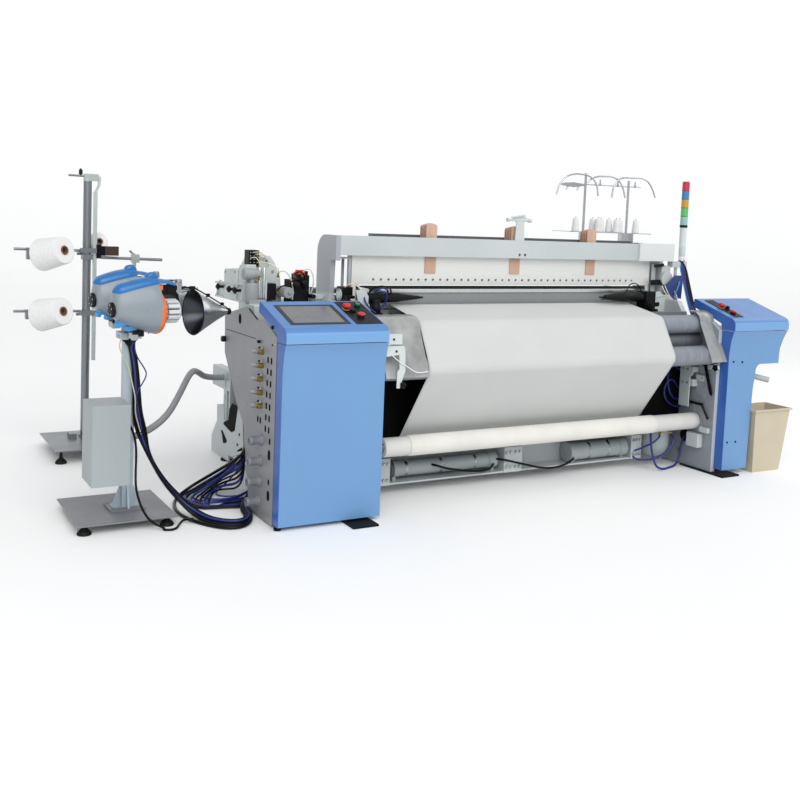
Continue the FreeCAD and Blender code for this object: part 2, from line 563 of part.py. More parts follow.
roller("breast_roller", "dims.breast_y", "dims.breast_z", "dims.breast_r", -1246, 1246)
roller("take_up_roller", "dims.takeup_y", "dims.takeup_z", "dims.takeup_r", -1238, 1246, jx=1268.0)
roller("press_roller", "dims.press_y", "dims.press_z", "dims.press_r", -1246, 1246)
node("cloth_roll", [cyl(-977, "dims.roll_y", "dims.roll_z", "dims.roll_r", 1838, (1, 0, 0)),
                    cyl(-1137, "dims.roll_y", "dims.roll_z", "dims.core_r", 2378, (1, 0, 0)),
                    cyl(-1288, "dims.roll_y", "dims.roll_z", "dims.journal_r", 2576, (1, 0, 0))])
node("warp_beam", [cyl(-970, "dims.beam_y", "dims.beam_z", "dims.yarn_r", 1830, (1, 0, 0)),
                   cyl(-1240, "dims.beam_y", "dims.beam_z", "dims.beam_core", 2480, (1, 0, 0)),
                   cyl(-1289, "dims.beam_y", "dims.beam_z", "dims.beam_journal", 2578, (1, 0, 0)),
                   turned([(0, 0), (400, 0), (400, 14), (380, 18), (120, 22), (110, 34), (0, 34)], -970, D["beam_y"], D["beam_z"], (-1, 0, 0)),
                   turned([(0, 0), (400, 0), (400, 14), (380, 18), (120, 22), (110, 34), (0, 34)], 860, D["beam_y"], D["beam_z"], (1, 0, 0)),
                   cyl(1150, "dims.beam_y", "dims.beam_z", 210, 36, (1, 0, 0))])
roller("back_rest_roller", "dims.backrest_y", "dims.backrest_z", "dims.backrest_r", -1246, 1246)

# ---------------------------------------------------------------- cloth and warp: thin solids that lie 0.4 mm off the rollers


def tangent(c1, r1, s1, c2, r2, s2):
    """Tangent from circle 1 to circle 2. s = +1 keeps the centre on the left of the direction of travel, -1 on the right."""
    dx, dy = c2[0] - c1[0], c2[1] - c1[1]
    dist = math.hypot(dx, dy)
    ux, uy = dx / dist, dy / dist
    k = (s2 * r2 - s1 * r1) / dist
    cosk = math.sqrt(max(0.0, 1 - k * k))
    tx, ty = ux * cosk + uy * k, uy * cosk - ux * k
    lx, ly = -ty, tx
    return (c1[0] - lx * s1 * r1, c1[1] - ly * s1 * r1), (c2[0] - lx * s2 * r2, c2[1] - ly * s2 * r2)


def path_edges(stops, left_extra, right_extra):
    """One face of a sheet led over circles. stops: (centre, radius or None, side); a circle kept on the left is widened by
    left_extra, one kept on the right by right_extra."""
    pts = []
    n = len(stops)

    def wide(i):
        c, r, s = stops[i]
        return (r or 0.0) + (left_extra if s > 0 else right_extra)
    for i in range(n - 1):
        pts.append(tangent(stops[i][0], wide(i), stops[i][2], stops[i + 1][0], wide(i + 1), stops[i + 1][2]))
    seq = [pts[0][0]]
    for i in range(1, n - 1):
        c, r, s = stops[i]
        R = wide(i)
        a, b = pts[i - 1][1], pts[i][0]
        a1 = math.atan2(a[1] - c[1], a[0] - c[0])
        b1 = math.atan2(b[1] - c[1], b[0] - c[0])
        if s > 0:
            while b1 < a1:
                b1 += 2 * math.pi
        else:
            while b1 > a1:
                b1 -= 2 * math.pi
        m = (a1 + b1) / 2
        seq.append(a)
        seq.append((b[0], b[1], "arc", c[0] + R * math.cos(m), c[1] + R * math.sin(m)))
    seq.append(pts[-1][1])
    return seq


def reverse_loop(seq):
    """The same polyline with arcs, walked backwards."""
    out = []
    n = len(seq)
    for i in range(n - 1, -1, -1):
        p = seq[i]
        if i < n - 1 and len(seq[i + 1]) > 2:
            out.append((p[0], p[1], "arc", seq[i + 1][3], seq[i + 1][4]))
        else:
            out.append((p[0], p[1]))
    return out


def sheet_outline(stops, gap, thick):
    return path_edges(stops, gap, gap + thick) + reverse_loop(path_edges(stops, gap + thick, gap))


cloth_stops = [((493.0, 1096.0), None, 1), ((D["breast_y"], D["breast_z"]), D["breast_r"], 1), ((D["takeup_y"], D["takeup_z"]), D["takeup_r"], 1),
               ((D["guide_y"], D["guide_z"]), D["guide_r"], -1), ((D["roll_y"], D["roll_z"]), D["roll_r"], -1)]
print("cloth path", [tuple(round(c, 1) if isnum(c) else c for c in p) for p in path_edges(cloth_stops, 0.4, 1.9)])
node("woven_cloth", [prism("YZ", "dims.cloth_left", "dims.cloth_width", sheet_outline(cloth_stops, 0.4, D["cloth_thick"]))])
warp_stops = [((D["beam_y"], D["beam_z"]), D["yarn_r"], 1), ((D["backrest_y"], D["backrest_z"]), D["backrest_r"], 1), ((733.0, 1102.0), None, 1)]
print("warp path", [tuple(round(c, 1) if isnum(c) else c for c in p) for p in path_edges(warp_stops, 0.4, 1.9)])
node("warp_sheet", [prism("YZ", "dims.cloth_left", "dims.cloth_width", sheet_outline(warp_stops, 0.4, D["cloth_thick"]))])

stop_motion = [box(-1249.9, -1225, 985, 1160, 1000, 1160), box(1225, 1249.9, 985, 1160, 1000, 1160)]
for k in range(6):
    stop_motion.append(box(-1226, 1226, 1000 + 25 * k, 1006 + 25 * k, 1120, 1146))
    stop_motion.append(box(-1226, 1226, 1000 + 25 * k, 1006 + 25 * k, 1020, 1040))
node("warp_stop_motion", stop_motion)

# ---------------------------------------------------------------- roller brackets, lock levers, star knob at the right frame
brk = [prism("YZ", 1190, 8, [(214, 420), (300, 420), (300, 690), (190, 690), (190, 640), (214, 620)]),
       box(1190, 1250, 190, 300, 655, 690), box(1196, 1250, 190, 300, 560, 606),
       prism("YZ", 1241, 9, [(130, 490), (200, 520), (200, 560), (190, 640), (122, 640), (122, 520)]),
       box(1236, 1250, 130, 200, 600, 640),
       cyl(1236, 120, 700, 9, 14, (1, 0, 0)), box(1234, 1250, 40, 100, 690, 718), cyl(1236, 30, 706, 16, 14, (1, 0, 0)), cyl(1224, 30, 706, 26, 12, (1, 0, 0)),
       # bearing holder of the cloth roll with its clamp
       prism("YZ", 1243, 7, [(120, 250), (250, 262), (262, 300), (262, 380), (240, 440), (222, 450), (200, 395), (130, 330)],),
       box(1196, 1250, 118, 215, 160, 250), box(1220, 1250, 60, 130, 266, 300)]
node("right_side_frame", [right_plate, right_case_solid] + right_ribs + case_links + spout + brk,
     bores(1180, 120) + [cyl(1240, 342, 93, 15, 60, (1, 0, 0)), cyl(1240, 282, 209, 40, 30, (1, 0, 0))])
node("roll_lock_lever", [cyl(1222, 300, 446, 13, 20, (1, 0, 0)), box(1224, 1234, 120, 300, 440, 456), rod((1229, 128, 446), (1229, 76, 372), 8), ball(1229, 74, 368, 11)])
node("tension_lever", [cyl(1222, 122, 716, 13, 12, (1, 0, 0)), prism("YZ", 1224, 8, [(112, 716), (130, 716), (66, 528), (46, 520), (44, 536)])])

guards = []
for x0 in (-1242, 1150):
    x1 = -975 if x0 < 0 else 1249.5
    guards.append(prism("YZ", x0, x1 - x0, [(222, 1068), (180, 1064), (112, 1000, "arc", 132, 1046), (-16, 752), (-13.5, 750.6),
                                            (114.6, 998.5), (181, 1061.2, "arc", 134, 1043.6), (222, 1065)]))
guards += [box(-1249.9, -1240, 180, 220, 1043, 1066), box(1240, 1249.9, 182, 220, 1043, 1064.6)]
node("clear_guards", guards)

# ---------------------------------------------------------------- air tanks
tanks = [cyl(-980, 412, 140, 46, 752, (1, 0, 0)), cyl(-976, 412, 140, 50, 60, (1, 0, 0)), cyl(-290, 412, 140, 50, 60, (1, 0, 0)),
         cyl(332, 405, 140, 58, 470, (1, 0, 0)), cyl(330, 405, 140, 62, 62, (1, 0, 0)), cyl(745, 405, 140, 62, 60, (1, 0, 0)),
         cyl(1040, 364, 170, 104, 115), ball(1040, 364, 170, 104), cyl(1040, 364, 283, 36, 12)]
tank_feet = [box(-960, -940, 380, 444, 74, 100), box(-270, -250, 380, 444, 74, 100), box(360, 380, 380, 440, 74, 90), box(770, 790, 380, 440, 74, 90),
             box(1021, 1051, 455, 470, 150, 222)]
node("air_tanks", tanks + tank_feet)

# ---------------------------------------------------------------- drive housing and fittings at the upper left
hous = [box(-1700, -1290, 480, 1000, 620, 1100), box(-1800, -1700, 480, 720, 800, 1100), box(-1600, -1290, 480, 520, 584, 620),
        prism("YZ", -1800, 60, [(640, 1094), (1132, 1094), (1139, 1183), (666, 1207), (640, 1205)]), box(-1800, -1700, 560, 640, 1098, 1122),
        prism("YZ", -1800, 56, [(776, 1098), (985, 1098), (985, 1268), (776, 1282)]),
        prism("YZ", -1790, 60, [(650, 1098), (769, 1098), (769, 1290), (752, 1304), (650, 1311)]),
        prism("XZ", 700, 190, [(-1732, 1098), (-1552, 1098), (-1564, 1235), (-1602, 1323), (-1627, 1358), (-1699, 1365), (-1732, 1300)]),
        cyl(-1772, 600, 1098, 36, 116), cyl(-1772, 600, 1210, 14, 40), cyl(-1825, 600, 1262, 32, 95, (1, 0, 0)), box(-1740, -1680, 604, 652, 1118, 1222),
        box(-1761, -1699, 690, 760, 1296, 1389), box(-1755, -1705, 700, 760, 1262, 1298),
        cyl(-1566, 560, 1160, 31, 145, (0, 1, 0)), box(-1545, -1450, 600, 690, 1098, 1262), box(-1500, -1452, 605, 640, 1260, 1286), cyl(-1440, 622, 1255, 11, 24),
        box(-1460, -1425, 605, 650, 1098, 1256),
        cyl(-1372, 630, 1098, 38, 20), cyl(-1372, 630, 1116, 54, 30),
        rod((-1714, 640, 1098), (-1714, 640, 1300), 7), rod((-1686, 640, 1098), (-1686, 640, 1300), 7)]
for y in (1012, 824, 726):
    hous += [cyl(-1799, y, 1160, 8, 21, (-1, 0, 0)), cyl(-1819, y, 1160, 20, 14, (-1, 0, 0))]
node("drive_housing", hous)

# ---------------------------------------------------------------- right head unit below the beam end
head = [box(1265.1, 1345, 610, 800, 1140, 1340), cyl(1300, 612, 1250, 52, 24, (0, -1, 0)), box(1250, 1300, 560, 700, 1111, 1140), box(1255, 1345, 560, 700, 1111, 1141),
        prism("YZ", 1345, 6, [(520, 1110), (700, 1110), (700, 1290), (640, 1290)]),
        box(1344, 1480, 590, 640, 1330, 1372),
        cyl("dims.tower_x", "dims.tower_y + 15", 1370, 22, 46), rod((1400, 615, 1332), (1400, 615, 1111), 12), box(1290, 1420, 600, 640, 1098, 1112)]
node("arches", arches + head)
node("signal_tower", [cyl("dims.tower_x", "dims.tower_y + 15", 1416, 24, 205), cyl("dims.tower_x", "dims.tower_y + 15", 1612, 27, 18),
                      cyl("dims.tower_x", "dims.tower_y + 15", 1630, "dims.tower_r", 300), cyl("dims.tower_x", "dims.tower_y + 15", 1929, 20, 6)])

# ---------------------------------------------------------------- selvage bobbin stand
HOOPS = [[(x, 893.5, z) for x, z in ((527, 1804), (550, 1874), (599, 1929), (679, 1953), (786, 1951), (846, 1928), (882, 1881), (894, 1809))],
         [(x, 906.5, z) for x, z in ((797, 1886), (833, 1926), (896, 1947), (1026, 1951), (1087, 1933), (1129, 1883), (1155, 1808))],
         [(x, 893.5, z) for x, z in ((1019, 1802), (1031, 1886), (1075, 1935), (1126, 1949), (1294, 1953), (1353, 1935), (1399, 1886), (1429, 1822))]]
bs = [box(589, 1326, 800, 1000, 1553, 1558), rod((782, 900, 1480), (782, 900, 1962), 9), rod((1176, 900, 1480), (1176, 900, 1930), 9),
      box(740, 830, 780, 930, 1474, 1492), box(1120, 1230, 775, 930, 1456, 1492), box(1120, 1230, 880, 920, 1490, 1553.5), box(760, 800, 880, 920, 1490, 1553.5),
      rod((782, 900, 1884), (1290, 900, 1888), 4),
      prism("XZ", 888, 24, [(550, 1876), (596, 1888), (670, 1894), (759, 1887), (784, 1884), (784, 1880), (760, 1872), (673, 1860), (597, 1866)])]
for hoop in HOOPS:
    bs.append(tube("hoop", hoop, 6)[0])
for x in (914, 1076, 1237):
    bs += [cyl(x, 900, 1880, 5, 46), cyl(x, 900, 1890, 10, 8)]
for x in (630, 724):
    bs.append(rod((x, 900, 1866), (x - 14, 900, 1842), 6))
PEGS = [(713, 900), (864, 900), (865, 840), (939, 900), (1014, 900), (1035, 845), (1115, 900), (1265, 900)]
for x, y in PEGS:
    bs.append(cyl(x, y, 1557, 5, 102))
node("bobbin_stand", bs)
bobs = []
for x, y in PEGS:
    bobs.append(cut(turned([(0, 0), (26, 0), (27, 5), (19, 87), (15, 94), (0, 95)], x, y, 1558.2), [cyl(x, y, 1550, 5.3, 130)]))
node("selvage_bobbins", bobs)

# ---------------------------------------------------------------- feeder stand, box, feeders, cones
node("feeder_stand",
     [box(-2760, -2263, 263, 787, 46, "dims.stand_base_z"), box(-2562, -2380, 436, 592, 52, 62), box(-2540, -2400, 470, 560, 60, 64),
      box("-2469 - dims.post_w / 2", "-2469 + dims.post_w / 2", "500 - dims.post_w / 2", "500 + dims.post_w / 2", 60, 945),
      prism("XZ", 495, 10, [(-2545, 62), (-2393, 62), (-2441, 190), (-2497, 190)]), prism("YZ", -2474, 10, [(438, 62), (562, 62), (528, 190), (472, 190)]),
      box(-2520, -2437, 440, 560, 935, 968), cyl(-2465, 445, 944, 17, 34, (0, -1, 0)), rod((-2469, 360, 975), (-2469, 860, 994), 14),
      box(-2500, -2438, 470, 530, 960, 992), rod((-2528, 500, 946), (-2410, 500, 946), 9)],
     [cyl(x, y, 40, 6, 40) for x, y in ((-2548, 450), (-2394, 450), (-2548, 578), (-2394, 578))])
node("feeder_control_box",
     [cut(box(-2699, -2516, 250, 470, 240, 640), [box(-2697, -2518, 252, 468, 242, 638)]), box(-2516.5, -2497, 420, 466, 300, 580),
      cyl(-2560, 469, 360, 26, 21, (0, 1, 0)), box(-2516, -2497, 466, 490, 300, 340), box(-2516, -2497, 466, 490, 540, 580)])

AX = math.radians(10.0)


def common(a, b):
    o = doc.addObject("Part::Common", uid("shared"))
    o.Base = a
    o.Tool = b
    return o


def feeder(label, ox, oy, oz, collar):
    """One weft feeder: bullet body, hood, ring, drum and rods, drawn along +X from its ring and turned a little towards the back."""
    body = turned([(0, -205), (14, -200), (36, -172), (58, -136), (82, -98), (97, -68), (105, -40), (107, 0), (0, 0)], 0, 0, 4, (1, 0, 0))
    hood = common(prism("XZ", -58, 116, [(-218, 62), (-218, 118), (-195, 141), (-136, 162, "arc", -166, 153), (-20, 185, "arc", -78, 177), (22, 172), (66, 165),
                                         (110, 152), (110, 132), (24, 118), (2, 96), (-30, 60), (-150, 10), (-196, 16)]),
                  cyl(-230, 0, 66, 118, 360, (1, 0, 0)))
    bump = cut(box(-46, 12, -24, 24, 170, 206), [rod((-60, -30, 214), (-60, 30, 214), 22)])
    ring = turned([(0, -2), (108, -2), (112, 4), (112, 16), (104, 24), (92, 27), (0, 27)], 0, 0, 4, (1, 0, 0))
    ribs = []
    for k in range(12):
        for off, rad in ((-9.0, 56.0), (-6.0, 62.0), (6.0, 62.0), (9.0, 56.0)):
            a = math.radians(30 * k + off)
            ribs.append((rad * math.cos(a), 6 + rad * math.sin(a)))
    drum = fuse([prism("YZ", 62, 58, ribs), turned([(0, 119), (50, 119), (46, 126), (34, 132), (0, 132)], 0, 0, 6, (1, 0, 0))])
    neck = cyl(20, 0, 6, 40, 44, (1, 0, 0))
    arm = [box(22, 116, -26, 26, 90, 122), rod((112, 10, 118), (252, 10, 114), 6), rod((112, -12, 110), (176, -12, 107), 6),
           cyl(118, 0, 150, 14, 16, (1, 0, 0)), box(104, 122, -14, 14, 120, 150)]
    disc = [cyl(-196, 0, 14, 14, 24, (-1, 0, 0)), cyl(-214, 0, 14, 40, 16, (-1, 0, 0)), box(-60, 10, -66, -52, 112, 146)]
    clampb = box(-112, -70, -26, 26, -112, -50)
    o = fuse([body, hood, bump, ring, neck, drum, clampb] + arm + disc)
    o.Placement = Placement(V(ox, oy, oz), Rotation(V(0, 0, 1), math.degrees(AX)))
    o = cut(fuse([o, cyl(-2469, oy - 16, collar, 15, 50)]), [rod((-2469, 340, 974.24), (-2469, 880, 994.76), 14.02)])
    o.Label = label
    NODES.append(o)


F1 = (-2372.0, 400.0, 1076.0)
F2 = (-2379.0, 790.0, 1090.0)
feeder("weft_feeder_front", *F1, 990.6)
feeder("weft_feeder_rear", *F2, 1008.5)
for tag, (ox, oy, oz) in (("front", F1), ("rear", F2)):
    o = turned([(41, 30), (74, 30), (76, 36), (56, 56), (41, 56)], 0, 0, 0, (1, 0, 0))
    turn = Rotation(V(0, 0, 1), math.degrees(AX))
    o.Placement = Placement(V(ox, oy, oz) + turn.multVec(V(0, 0, 6)), turn.multiply(Rotation(V(0, 0, 1), V(1, 0, 0))))
    o.Label = "winding_disc_" + tag
    NODES.append(o)

cones = []
for ox, oy, oz, size in ((-2156.0, 438.0, 1070.0, 1.0), (-2163.0, 828.0, 1086.0, 0.9)):
    r, L = 117 * size, 204
    shell = turned([(r, 0), (r + 2, 0), (r + 2, 4), (12, L), (12, L + 14), (7, L + 14), (7, L + 2), (9.5, L - 1), (r - 2, 3)], 0, 0, 0, (1, 0, 0))
    tip = turned([(12, L), (17, L), (17, L + 16), (7, L + 16), (7, L + 14), (12, L + 14)], 0, 0, 0, (1, 0, 0))
    top = r + 2
    arm = [rod((-60, 0, top + 20), (6, 0, top + 6), 5), rod((0, 0, top + 10), (4, 0, top - 4), 6), rod((4, 0, top + 8), (L + 4, 0, 13), 3.5)]
    g = fuse([shell, tip] + arm)
    g.Placement = Placement(V(ox, oy, oz), Rotation(V(0, 0, 1), math.degrees(AX)))
    cones.append(g)
node("balloon_cones", cones)

# ---------------------------------------------------------------- yarn stand and packages
yb = [box(-2600, -2120, 1700, 2262, 79, 85), cyl(-2349, 2080, 85, 26, 1690), box(-2382, -2316, 2047, 2113, 85, 97), box(-2450, -2405, 2040, 2120, 85, 112),
      box(-2372, -2290, 2056, 2104, 1760, 1806), rod((-2470, 2080, 1792), (-2360, 2080, 1790), 7), cyl(-2394, 2080, 1800, 12, 30), rod((-2394, 2080, 1790), (-2394, 2080, 1838), 6),
      prism("XZ", 2066, 28, [(-2300, 1804), (-2292, 1804), (-2268, 1770, "arc", -2275, 1794), (-2288, 1700, "arc", -2272, 1736), (-2288, 590), (-2310, 590), (-2310, 1690),
                             (-2284, 1760, "arc", -2290, 1724), (-2300, 1790, "arc", -2288, 1780)]),
      box(-2388, -2280, 2050, 2110, 1296, 1326), box(-2388, -2280, 2050, 2110, 888, 920), rod((-2349, 2080, 1268), (-1853, 2080, 1256), 10),
      box(-2380, -2320, 2048, 2112, 1252, 1286), box(-2060, -2010, 2058, 2102, 1236, 1290), rod((-2030, 2080, 1282), (-2075, 2060, 1312), 7), rod((-2040, 2080, 1240), (-2040, 2080, 1212), 14),
      box(-2265, -2150, 2050, 2110, 1280, 1340), box(-2290, -2262, 2050, 2110, 1270, 1350), box(-2268, -2240, 2030, 2120, 1262, 1282)]
PD = V(-0.55, 0.81, -0.2).normalize()
PK = [(V(-2527, 1880, 1318), 1310), (V(-2530, 1880, 935), 912)]
pk = []
for face, z in PK:
    end = face + PD * 200
    a, b = end + PD * 100, face + PD * 40
    yb += [rod((-2335, 2140, z - 4), (-2788, 2140, z), 9), rod((-2400, 2140, z - 24), (-2335, 2140, z - 24), 9), box(-2360, -2320, 2090, 2160, z - 36, z + 8),
           rod(tuple(a), tuple(b), 10), rod(tuple(end + PD * 20), tuple(end), 26), box(a.x - 22, a.x + 16, 2100, 2152, min(a.z, z) - 12, max(a.z, z) + 10)]
    pk.append(cut(turned([(0, 0), (24, 0), (24, 5), (30, 1), (80, 1), (85, 5), (104, 190), (100, 197), (30, 200), (0, 200)], face.x, face.y, face.z, tuple(PD)),
                  [rod(tuple(end + PD * 10), tuple(face - PD * 10), 15)]))
PE = V(-0.25, 0.93, -0.25).normalize()
face = V(-2252.5, 2150, 1368)
end = face + PE * 110
a = face + PE * 151.207
yb += [rod(tuple(a), tuple(face + PE * 30), 9), rod(tuple(end + PE * 16), tuple(end), 24), rod((a.x, a.y, 1236), (a.x, a.y, a.z + 6), 8), rod((-2349, 2080, 1240), (a.x, a.y + 4, 1240), 8)]
pk.append(cut(turned([(0, 0), (20, 0), (20, 5), (56, 2), (62, 6), (72, 102), (68, 108), (24, 110), (0, 110)], face.x, face.y, face.z, tuple(PE)),
              [rod(tuple(end + PE * 10), tuple(face - PE * 10), 13)]))
node("yarn_stand", [chain(yb)])
node("yarn_packages", pk)

# ---------------------------------------------------------------- waste bin and spout
def tapered(x0, x1, y0, y1, z0, X0, X1, Y0, Y1, z1, word):
    """A rectangular frustum between two rectangles."""
    body = doc.addObject("PartDesign::Body", uid(word))
    a = sketch_on(body, "XY_Plane", [[(x0, y0), (x1, y0), (x1, y1), (x0, y1)]])
    a.AttachmentOffset = Placement(V(0, 0, z0), Rotation())
    b = sketch_on(body, "XY_Plane", [[(X0, Y0), (X1, Y0), (X1, Y1), (X0, Y1)]])
    b.AttachmentOffset = Placement(V(0, 0, z1), Rotation())
    loft = body.newObject("PartDesign::AdditiveLoft", uid("loft"))
    loft.Profile = a
    loft.Sections = [(b, [""])]
    loft.Ruled = True
    body.Tip = loft
    return body


bin_out = tapered(1551, 1806, -45, 118, 0, 1528, 1862, -62, 150, 418, "bin")
bin_in = tapered(1555, 1802, -41, 114, 4, 1532, 1858, -58, 146, 432, "bincore")
rim = cut(box(1519.5, 1872, -72, 160, 412, 424), [box(1532, 1858, -58, 146, 400, 440)])
node("waste_bin", [cut(bin_out, [bin_in]), rim])

# ---------------------------------------------------------------- cables and hoses
cord_node("feeder_cable_bundle",
          [(-2468, 458, 934.7), (-2468, 458, 905), (-2454, 453, 850), (-2443, 449, 760), (-2437, 447, 660), (-2432, 446, 560), (-2413, 446, 467), (-2371, 440, 329), (-2300, 415, 200),
           (-2227, 385, 112), (-2160, 332, 46), (-2109, 270, 18), (-2050, 200, 12), (-1960, 160, 12), (-1888, 240, 12), (-1864, 400, 13), (-1810, 500, 20),
           (-1735, 545, 110), (-1690, 548, 250), (-1668, 541, 430), (-1660, 541, 619.2)], "bundle_r")
cord_node("feeder_conduit",
          [(-2560, 490.3, 360), (-2560, 630, 360), (-2430, 745, 350), (-2290, 790, 375), (-2160, 850, 440), (-2050, 980, 540), (-1930, 1160, 640),
           (-1820, 1385, 605), (-1738, 1450, 545), (-1620.3, 1450, 545)], "hose_r")
cord_node("blue_air_hose",
          [(-1290.3, 900, 230), (-1480, 893, 215), (-1700, 868, 150), (-1900, 815, 75), (-2040, 765, 22), (-2115, 680, 9.5), (-2060, 590, 9),
           (-1940, 560, 9), (-1820, 600, 14), (-1700, 640, 50), (-1602.2, 650, 72)], "blue_r")

# ---------------------------------------------------------------- shift, check, write
doc.recompute()
for o in NODES:
    b = o.Placement.Base
    o.setExpression("Placement.Base.x", None)
    o.setExpression("Placement.Base.y", None)
doc.recompute()
shift = V(D["shift_x"], D["shift_y"], 0)
for o in NODES:
    o.Placement = Placement(o.Placement.Base + shift, o.Placement.Rotation)
doc.recompute()

bad = [o.Label for o in doc.Objects if "Invalid" in o.State or "Error" in o.State]
if bad:
    print("failed objects:", bad)
    for o in doc.Objects:
        if o.Name in bad or o.Label in bad:
            print(o.Name, o.getStatusString(), [(x.Name, x.Shape.isNull(), x.Shape.isValid(), len(x.Shape.Solids)) for x in o.OutList if hasattr(x, "Shape")])
    sys.exit(1)
labels = [o.Label for o in NODES]
if len(set(labels)) != len(labels) or len(labels) > 60:
    print("labels:", len(labels), "duplicates:", sorted(x for x in set(labels) if labels.count(x) > 1))
    sys.exit(1)
total = FreeCAD.BoundBox()
CORDS = ("feeder_cable_bundle", "feeder_conduit", "blue_air_hose")
for o in NODES:
    s = o.Shape
    if s.isNull() or not s.isValid() or not s.Solids:
        print("bad shape:", o.Label)
        sys.exit(1)
    if o.Label not in CORDS:
        total.add(s.BoundBox)
for name in os.listdir("parts"):
    if name.endswith(".step") and name[:-5] not in labels:
        os.remove(os.path.join("parts", name))
for o in NODES:
    o.Shape.exportStep("parts/%s.step" % o.Label)
    print("%-22s solids %3d  faces %4d  volume %10.0f cm3" % (o.Label, len(o.Shape.Solids), len(o.Shape.Faces), o.Shape.Volume / 1000))
print("nodes", len(labels))
print("box %.1f..%.1f  %.1f..%.1f  %.1f..%.1f" % (total.XMin, total.XMax, total.YMin, total.YMax, total.ZMin, total.ZMax))
print("centre %.2f %.2f" % ((total.XMin + total.XMax) / 2, (total.YMin + total.YMax) / 2))
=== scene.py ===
import bpy
import bmesh
import math
import random
from mathutils import Vector, Matrix


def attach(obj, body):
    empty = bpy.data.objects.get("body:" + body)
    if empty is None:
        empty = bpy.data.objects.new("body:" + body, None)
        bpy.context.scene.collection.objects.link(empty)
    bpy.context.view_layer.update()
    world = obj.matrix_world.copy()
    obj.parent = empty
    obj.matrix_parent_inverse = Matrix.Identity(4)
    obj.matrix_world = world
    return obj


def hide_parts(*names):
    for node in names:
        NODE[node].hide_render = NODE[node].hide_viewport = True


# Power loom. Everything is laid out in the same working frame as the construction: x = 0 midway between the
# side frames, millimetres, then moved by the same offset as the solids.

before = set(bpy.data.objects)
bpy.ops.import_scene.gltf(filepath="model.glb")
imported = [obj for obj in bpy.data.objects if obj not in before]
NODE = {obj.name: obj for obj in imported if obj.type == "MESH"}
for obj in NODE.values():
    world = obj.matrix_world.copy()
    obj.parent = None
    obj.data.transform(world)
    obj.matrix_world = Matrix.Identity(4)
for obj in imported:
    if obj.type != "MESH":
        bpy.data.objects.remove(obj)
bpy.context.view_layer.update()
SX, SY = 458.04, -1085.67
rnd = random.Random(7)


def W(x, y, z):
    return Vector(((x + SX) / 1000.0, (y + SY) / 1000.0, z / 1000.0))


# ------------------------------------------------------------------------------------------------ camera
R = Vector((0.87186, -0.48817, 0.03935))
U = Vector((0.00565, 0.09038, 0.99589))
F = Vector((0.48972, 0.86806, -0.08156))
cam_data = bpy.data.cameras.new("camera")
cam_data.lens = 45.0
cam_data.sensor_width = 36.0
cam_data.shift_x = 0.0
cam_data.shift_y = -0.125
cam_data.clip_end = 200.0
cam = bpy.data.objects.new("camera", cam_data)
bpy.context.scene.collection.objects.link(cam)
m = Matrix.Identity(4)
for i, v in enumerate((R, U, -F)):
    for k in range(3):
        m[k][i] = v[k]
C = W(-3760, -4589, 1600)
for k in range(3):
    m[k][3] = C[k]
cam.matrix_world = m
bpy.context.scene.camera = cam


# ------------------------------------------------------------------------------------------------ materials
def lin(c):
    c = c / 255.0
    return c / 12.92 if c <= 0.04045 else ((c + 0.055) / 1.055) ** 2.4


def rgb(r, g, b):
    return (lin(r), lin(g), lin(b), 1.0)


def shade(col, f):
    return tuple(max(0.0, min(1.0, c * f)) for c in col[:3]) + (1.0,)


